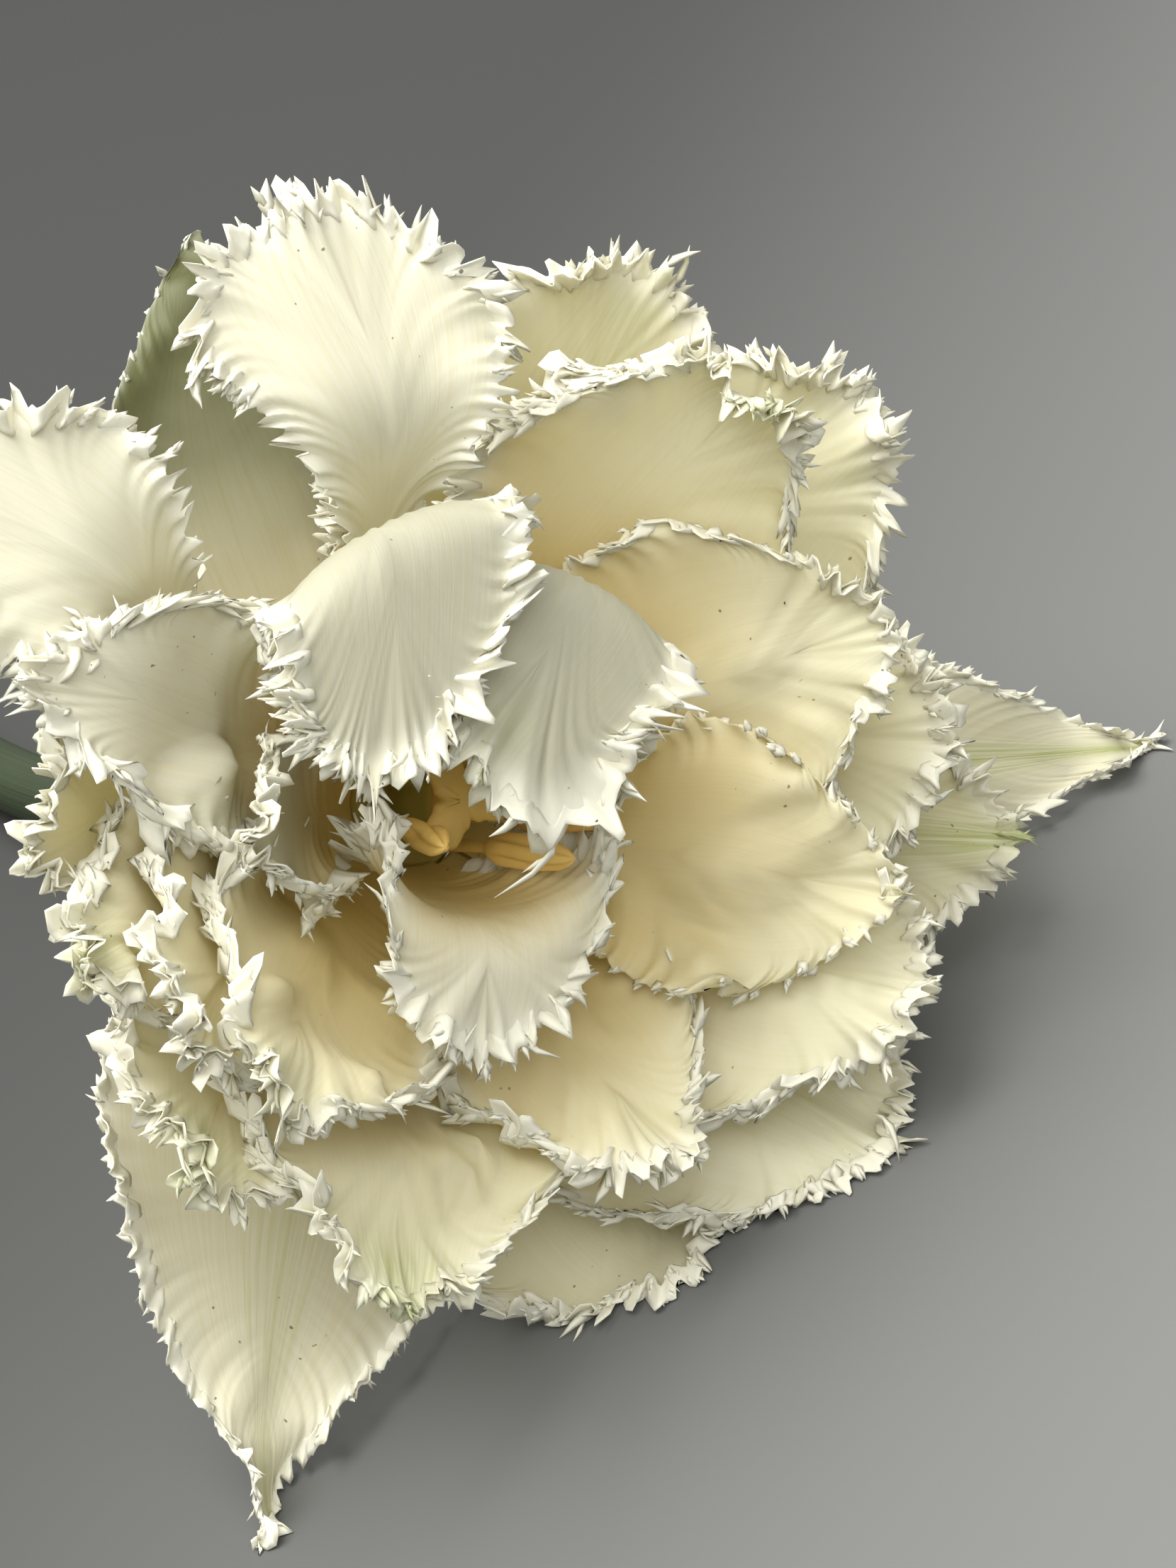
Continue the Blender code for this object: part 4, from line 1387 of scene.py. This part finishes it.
@dataclass
class Pistil:
    """Three-sided ovary with its lobed, crested stigma."""
    height: float = 13.0
    sides: int = 60
    rings: int = 40
    profile: tuple[Triple, ...] = (  # share of the height, radius, depth of the lobes
        (0.0, 2.3, 0.06), (0.08, 2.9, 0.08), (0.45, 3.0, 0.08), (0.75, 2.1, 0.08),
        (0.84, 2.9, 0.32), (0.92, 3.8, 0.42), (0.97, 3.1, 0.42), (1.0, 0.6, 0.1),
    )
    finish: GrainFinish = GrainFinish("pistil_tissue", (0.34, 0.30, 0.06), (0.74, 0.50, 0.13), (8.0, 11.0))

    def build(self) -> None:
        """Carry the three-lobed outline up the profile; the stigma's rim is finely notched."""
        fine, radius, lobes = carried(self.profile, self.rings)
        turn = np.linspace(0, 2 * np.pi, self.sides, endpoint=False)
        notch = 0.06 * softened(fine, 0.8, 0.92)[:, None] * np.cos(15 * turn)
        shape = radius[:, None] * (1 + lobes[:, None] * np.cos(3 * turn) + notch)
        rise = RECEPTACLE.top + RECEPTACLE.seat_gap + self.height * fine
        rise = np.repeat(rise[:, None], self.sides, axis=1)
        rings = LIE.laid_down(np.stack([shape * np.cos(turn), shape * np.sin(turn), rise], axis=-1))
        swept(rings, fine * self.height).piece("pistil_fine", self.finish.material(), ["pistil"], "pistil")


@dataclass(frozen=True)
class Stamen:
    """One stamen: azimuth of its root, lean at root and tip, and how far it turns aside as it leans."""
    azimuth: float
    lean: tuple[float, float]
    swing: float = 0.0
    twist: float = 40.0


@dataclass
class Stamens:
    """Six stamens round the pistil: a thin filament that widens to a grooved, twisting anther."""
    rooted: tuple[Stamen, ...] = (
        Stamen(40, (10, 24)), Stamen(351, (12, 42), twist=-60), Stamen(302, (10, 26), 42),
        Stamen(200, (4, 14), 58, 70), Stamen(160, (8, 28), -20), Stamen(112, (8, 26), -30, -50),
    )
    circle: float = 4.3
    length: float = 20.0
    sides: int = 32
    rings: int = 56
    groove: float = 0.42
    profile: tuple[Triple, ...] = (  # share of the length, half width, half thickness
        (0.0, 0.8, 0.7), (0.3, 0.6, 0.5), (0.42, 0.5, 0.45), (0.46, 1.0, 0.8), (0.52, 1.6, 1.1),
        (0.75, 1.7, 1.15), (0.9, 1.4, 1.0), (0.97, 0.8, 0.6), (1.0, 0.15, 0.12),
    )
    finish: GrainFinish = GrainFinish("stamen_tissue", (0.90, 0.62, 0.18), (0.86, 0.57, 0.16), (8.0, 18.0))

    def build(self) -> None:
        """Carry the grooved oval along each stamen's curve."""
        material = self.finish.material()
        fine, wide, thick = carried(self.profile, self.rings)
        groove = self.groove * softened(fine, 0.45, 0.55)[:, None]
        for number, stamen in enumerate(self.rooted, start=1):
            angle = np.radians(np.linspace(*stamen.lean, self.rings))
            out, up = walked(angle, self.length / (self.rings - 1))
            aside = compass(stamen.azimuth + stamen.swing)
            rise = up + RECEPTACLE.top + RECEPTACLE.seat_gap
            path = self.circle * compass(stamen.azimuth) + out[:, None] * aside + rise[:, None] * UPRIGHT
            twist = softened(fine, 0.4, 1.0) * math.radians(stamen.twist)
            rings = rings_round(path, wide, thick, aside, self.sides, twist, groove)
            surface = swept(LIE.laid_down(rings), fine * self.length)
            surface.piece(f"stamen_{number}_fine", material, [f"stamen_{number}"], "stamen")


@dataclass(frozen=True)
class Lamp:
    """A soft square lamp that faces the bloom; its distance and side are in metres."""
    name: str
    seen: Triple  # direction from the bloom, in the camera's axes
    distance: float
    side: float
    watts: float
    tint: Colour

    def hang(self, axes: Array, aim: Vector) -> None:
        """Make the lamp.

        Args:
            axes: the camera's axes as columns in the floor's frame.
            aim: the point that it faces, in metres.
        """
        data = bpy.data.lights.new(self.name, "AREA")
        data.size, data.energy, data.color = self.side, self.watts, self.tint
        made = bpy.data.objects.new(self.name, data)
        way = Vector(unit(axes @ np.array(self.seen)))
        made.location = aim + way * self.distance
        made.rotation_mode = "QUATERNION"
        made.rotation_quaternion = way.to_track_quat("Z", "Y")
        bpy.context.scene.collection.objects.link(made)


@dataclass
class Studio:
    """Floor, soft lights and the camera, which looks down into the bloom as the photograph does."""
    view_turn: float = 25.0  # how far the bloom's axis is turned from the line of sight
    view_tilt: float = 5.0
    distance: float = 330.0
    focal_px: float = 4785.0
    frame_px: tuple[float, float] = (1659.0, 2212.0)
    receptacle_px: tuple[float, float] = (520.0, 1140.0)
    sensor: float = 36.0
    floor_radius: float = 4.0  # metres
    floor_drop: float = 0.0001
    heart: float = 25.0  # height over the receptacle's base that the lamps face
    sky: Colour = (1.0, 1.0, 0.99)
    sky_strength: float = 0.52
    lamps: tuple[Lamp, ...] = (
        Lamp("key", (-0.6, 0.75, 0.4), 0.9, 0.8, 13.0, (1.0, 0.99, 0.96)),
        Lamp("fill", (0.0, 0.4, 0.9), 1.2, 1.0, 7.5, (1.0, 0.995, 0.98)),
    )

    def camera(self) -> Array:
        """Place the camera from the view's angles and the receptacle's place in the picture.

        Returns:
            The camera's axes as columns in the floor's frame.
        """
        turn, tilt = math.radians(self.view_turn), math.radians(self.view_tilt)
        axis = np.array([math.sin(turn) * math.cos(tilt), math.sin(turn) * math.sin(tilt), math.cos(turn)])
        first = np.array([1.0, 0.0, 0.0]) - axis[0] * axis
        first = first / np.linalg.norm(first)
        seen = np.stack([first, np.cross(axis, first), axis], axis=1)
        centre = np.array(self.frame_px) / 2
        shift = (np.array(self.receptacle_px) - centre) * self.distance / self.focal_px
        place = LIE.laid_down(-seen.T @ np.array([shift[0], -shift[1], -self.distance]))
        axes = LIE.axes() @ seen.T
        data = bpy.data.cameras.new("camera")
        data.sensor_fit = "VERTICAL"
        data.sensor_height = self.sensor
        data.lens = self.focal_px / self.frame_px[1] * self.sensor
        data.clip_start = 0.01
        made = bpy.data.objects.new("camera", data)
        made.matrix_world = Matrix([[*axes[k], place[k] * MM] for k in range(3)] + [[0, 0, 0, 1]])
        bpy.context.scene.collection.objects.link(made)
        bpy.context.scene.camera = made
        return axes

    def floor(self) -> None:
        """A wide disc at the height on which the flower lies."""
        mesh, turns = bpy.data.meshes.new("floor"), np.linspace(0, 2 * np.pi, 96, endpoint=False)
        points = [(self.floor_radius * math.cos(turn), self.floor_radius * math.sin(turn), -self.floor_drop)
                  for turn in turns]
        mesh.from_pydata(points, [], [tuple(range(len(points)))])
        mesh.materials.append(FloorFinish().material())
        made = bpy.data.objects.new("floor", mesh)
        bpy.context.scene.collection.objects.link(made)

    def build(self) -> None:
        """Set up floor, world, lamps and camera."""
        axes = self.camera()
        self.floor()
        world = bpy.data.worlds.new("world")
        world.use_nodes = True
        inputs = world.node_tree.nodes["Background"].inputs
        inputs["Color"].default_value, inputs["Strength"].default_value = (*self.sky, 1), self.sky_strength
        bpy.context.scene.world = world
        aim = Vector(LIE.laid_down(self.heart * UPRIGHT) * MM)
        for lamp in self.lamps:
            lamp.hang(axes, aim)
        bpy.context.scene.view_settings.view_transform = "Standard"


def write_size() -> None:
    """Bring the view layer up to date."""
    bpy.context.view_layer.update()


def main() -> None:
    """Build every sub-assembly in order."""
    logging.basicConfig(level=logging.INFO, format="%(name)s %(message)s")
    Bloom(Layout(PETALS)).build()
    Stem().build()
    Pistil().build()
    Stamens().build()
    Studio().build()
    write_size()


if __name__ == "__main__":
    main()
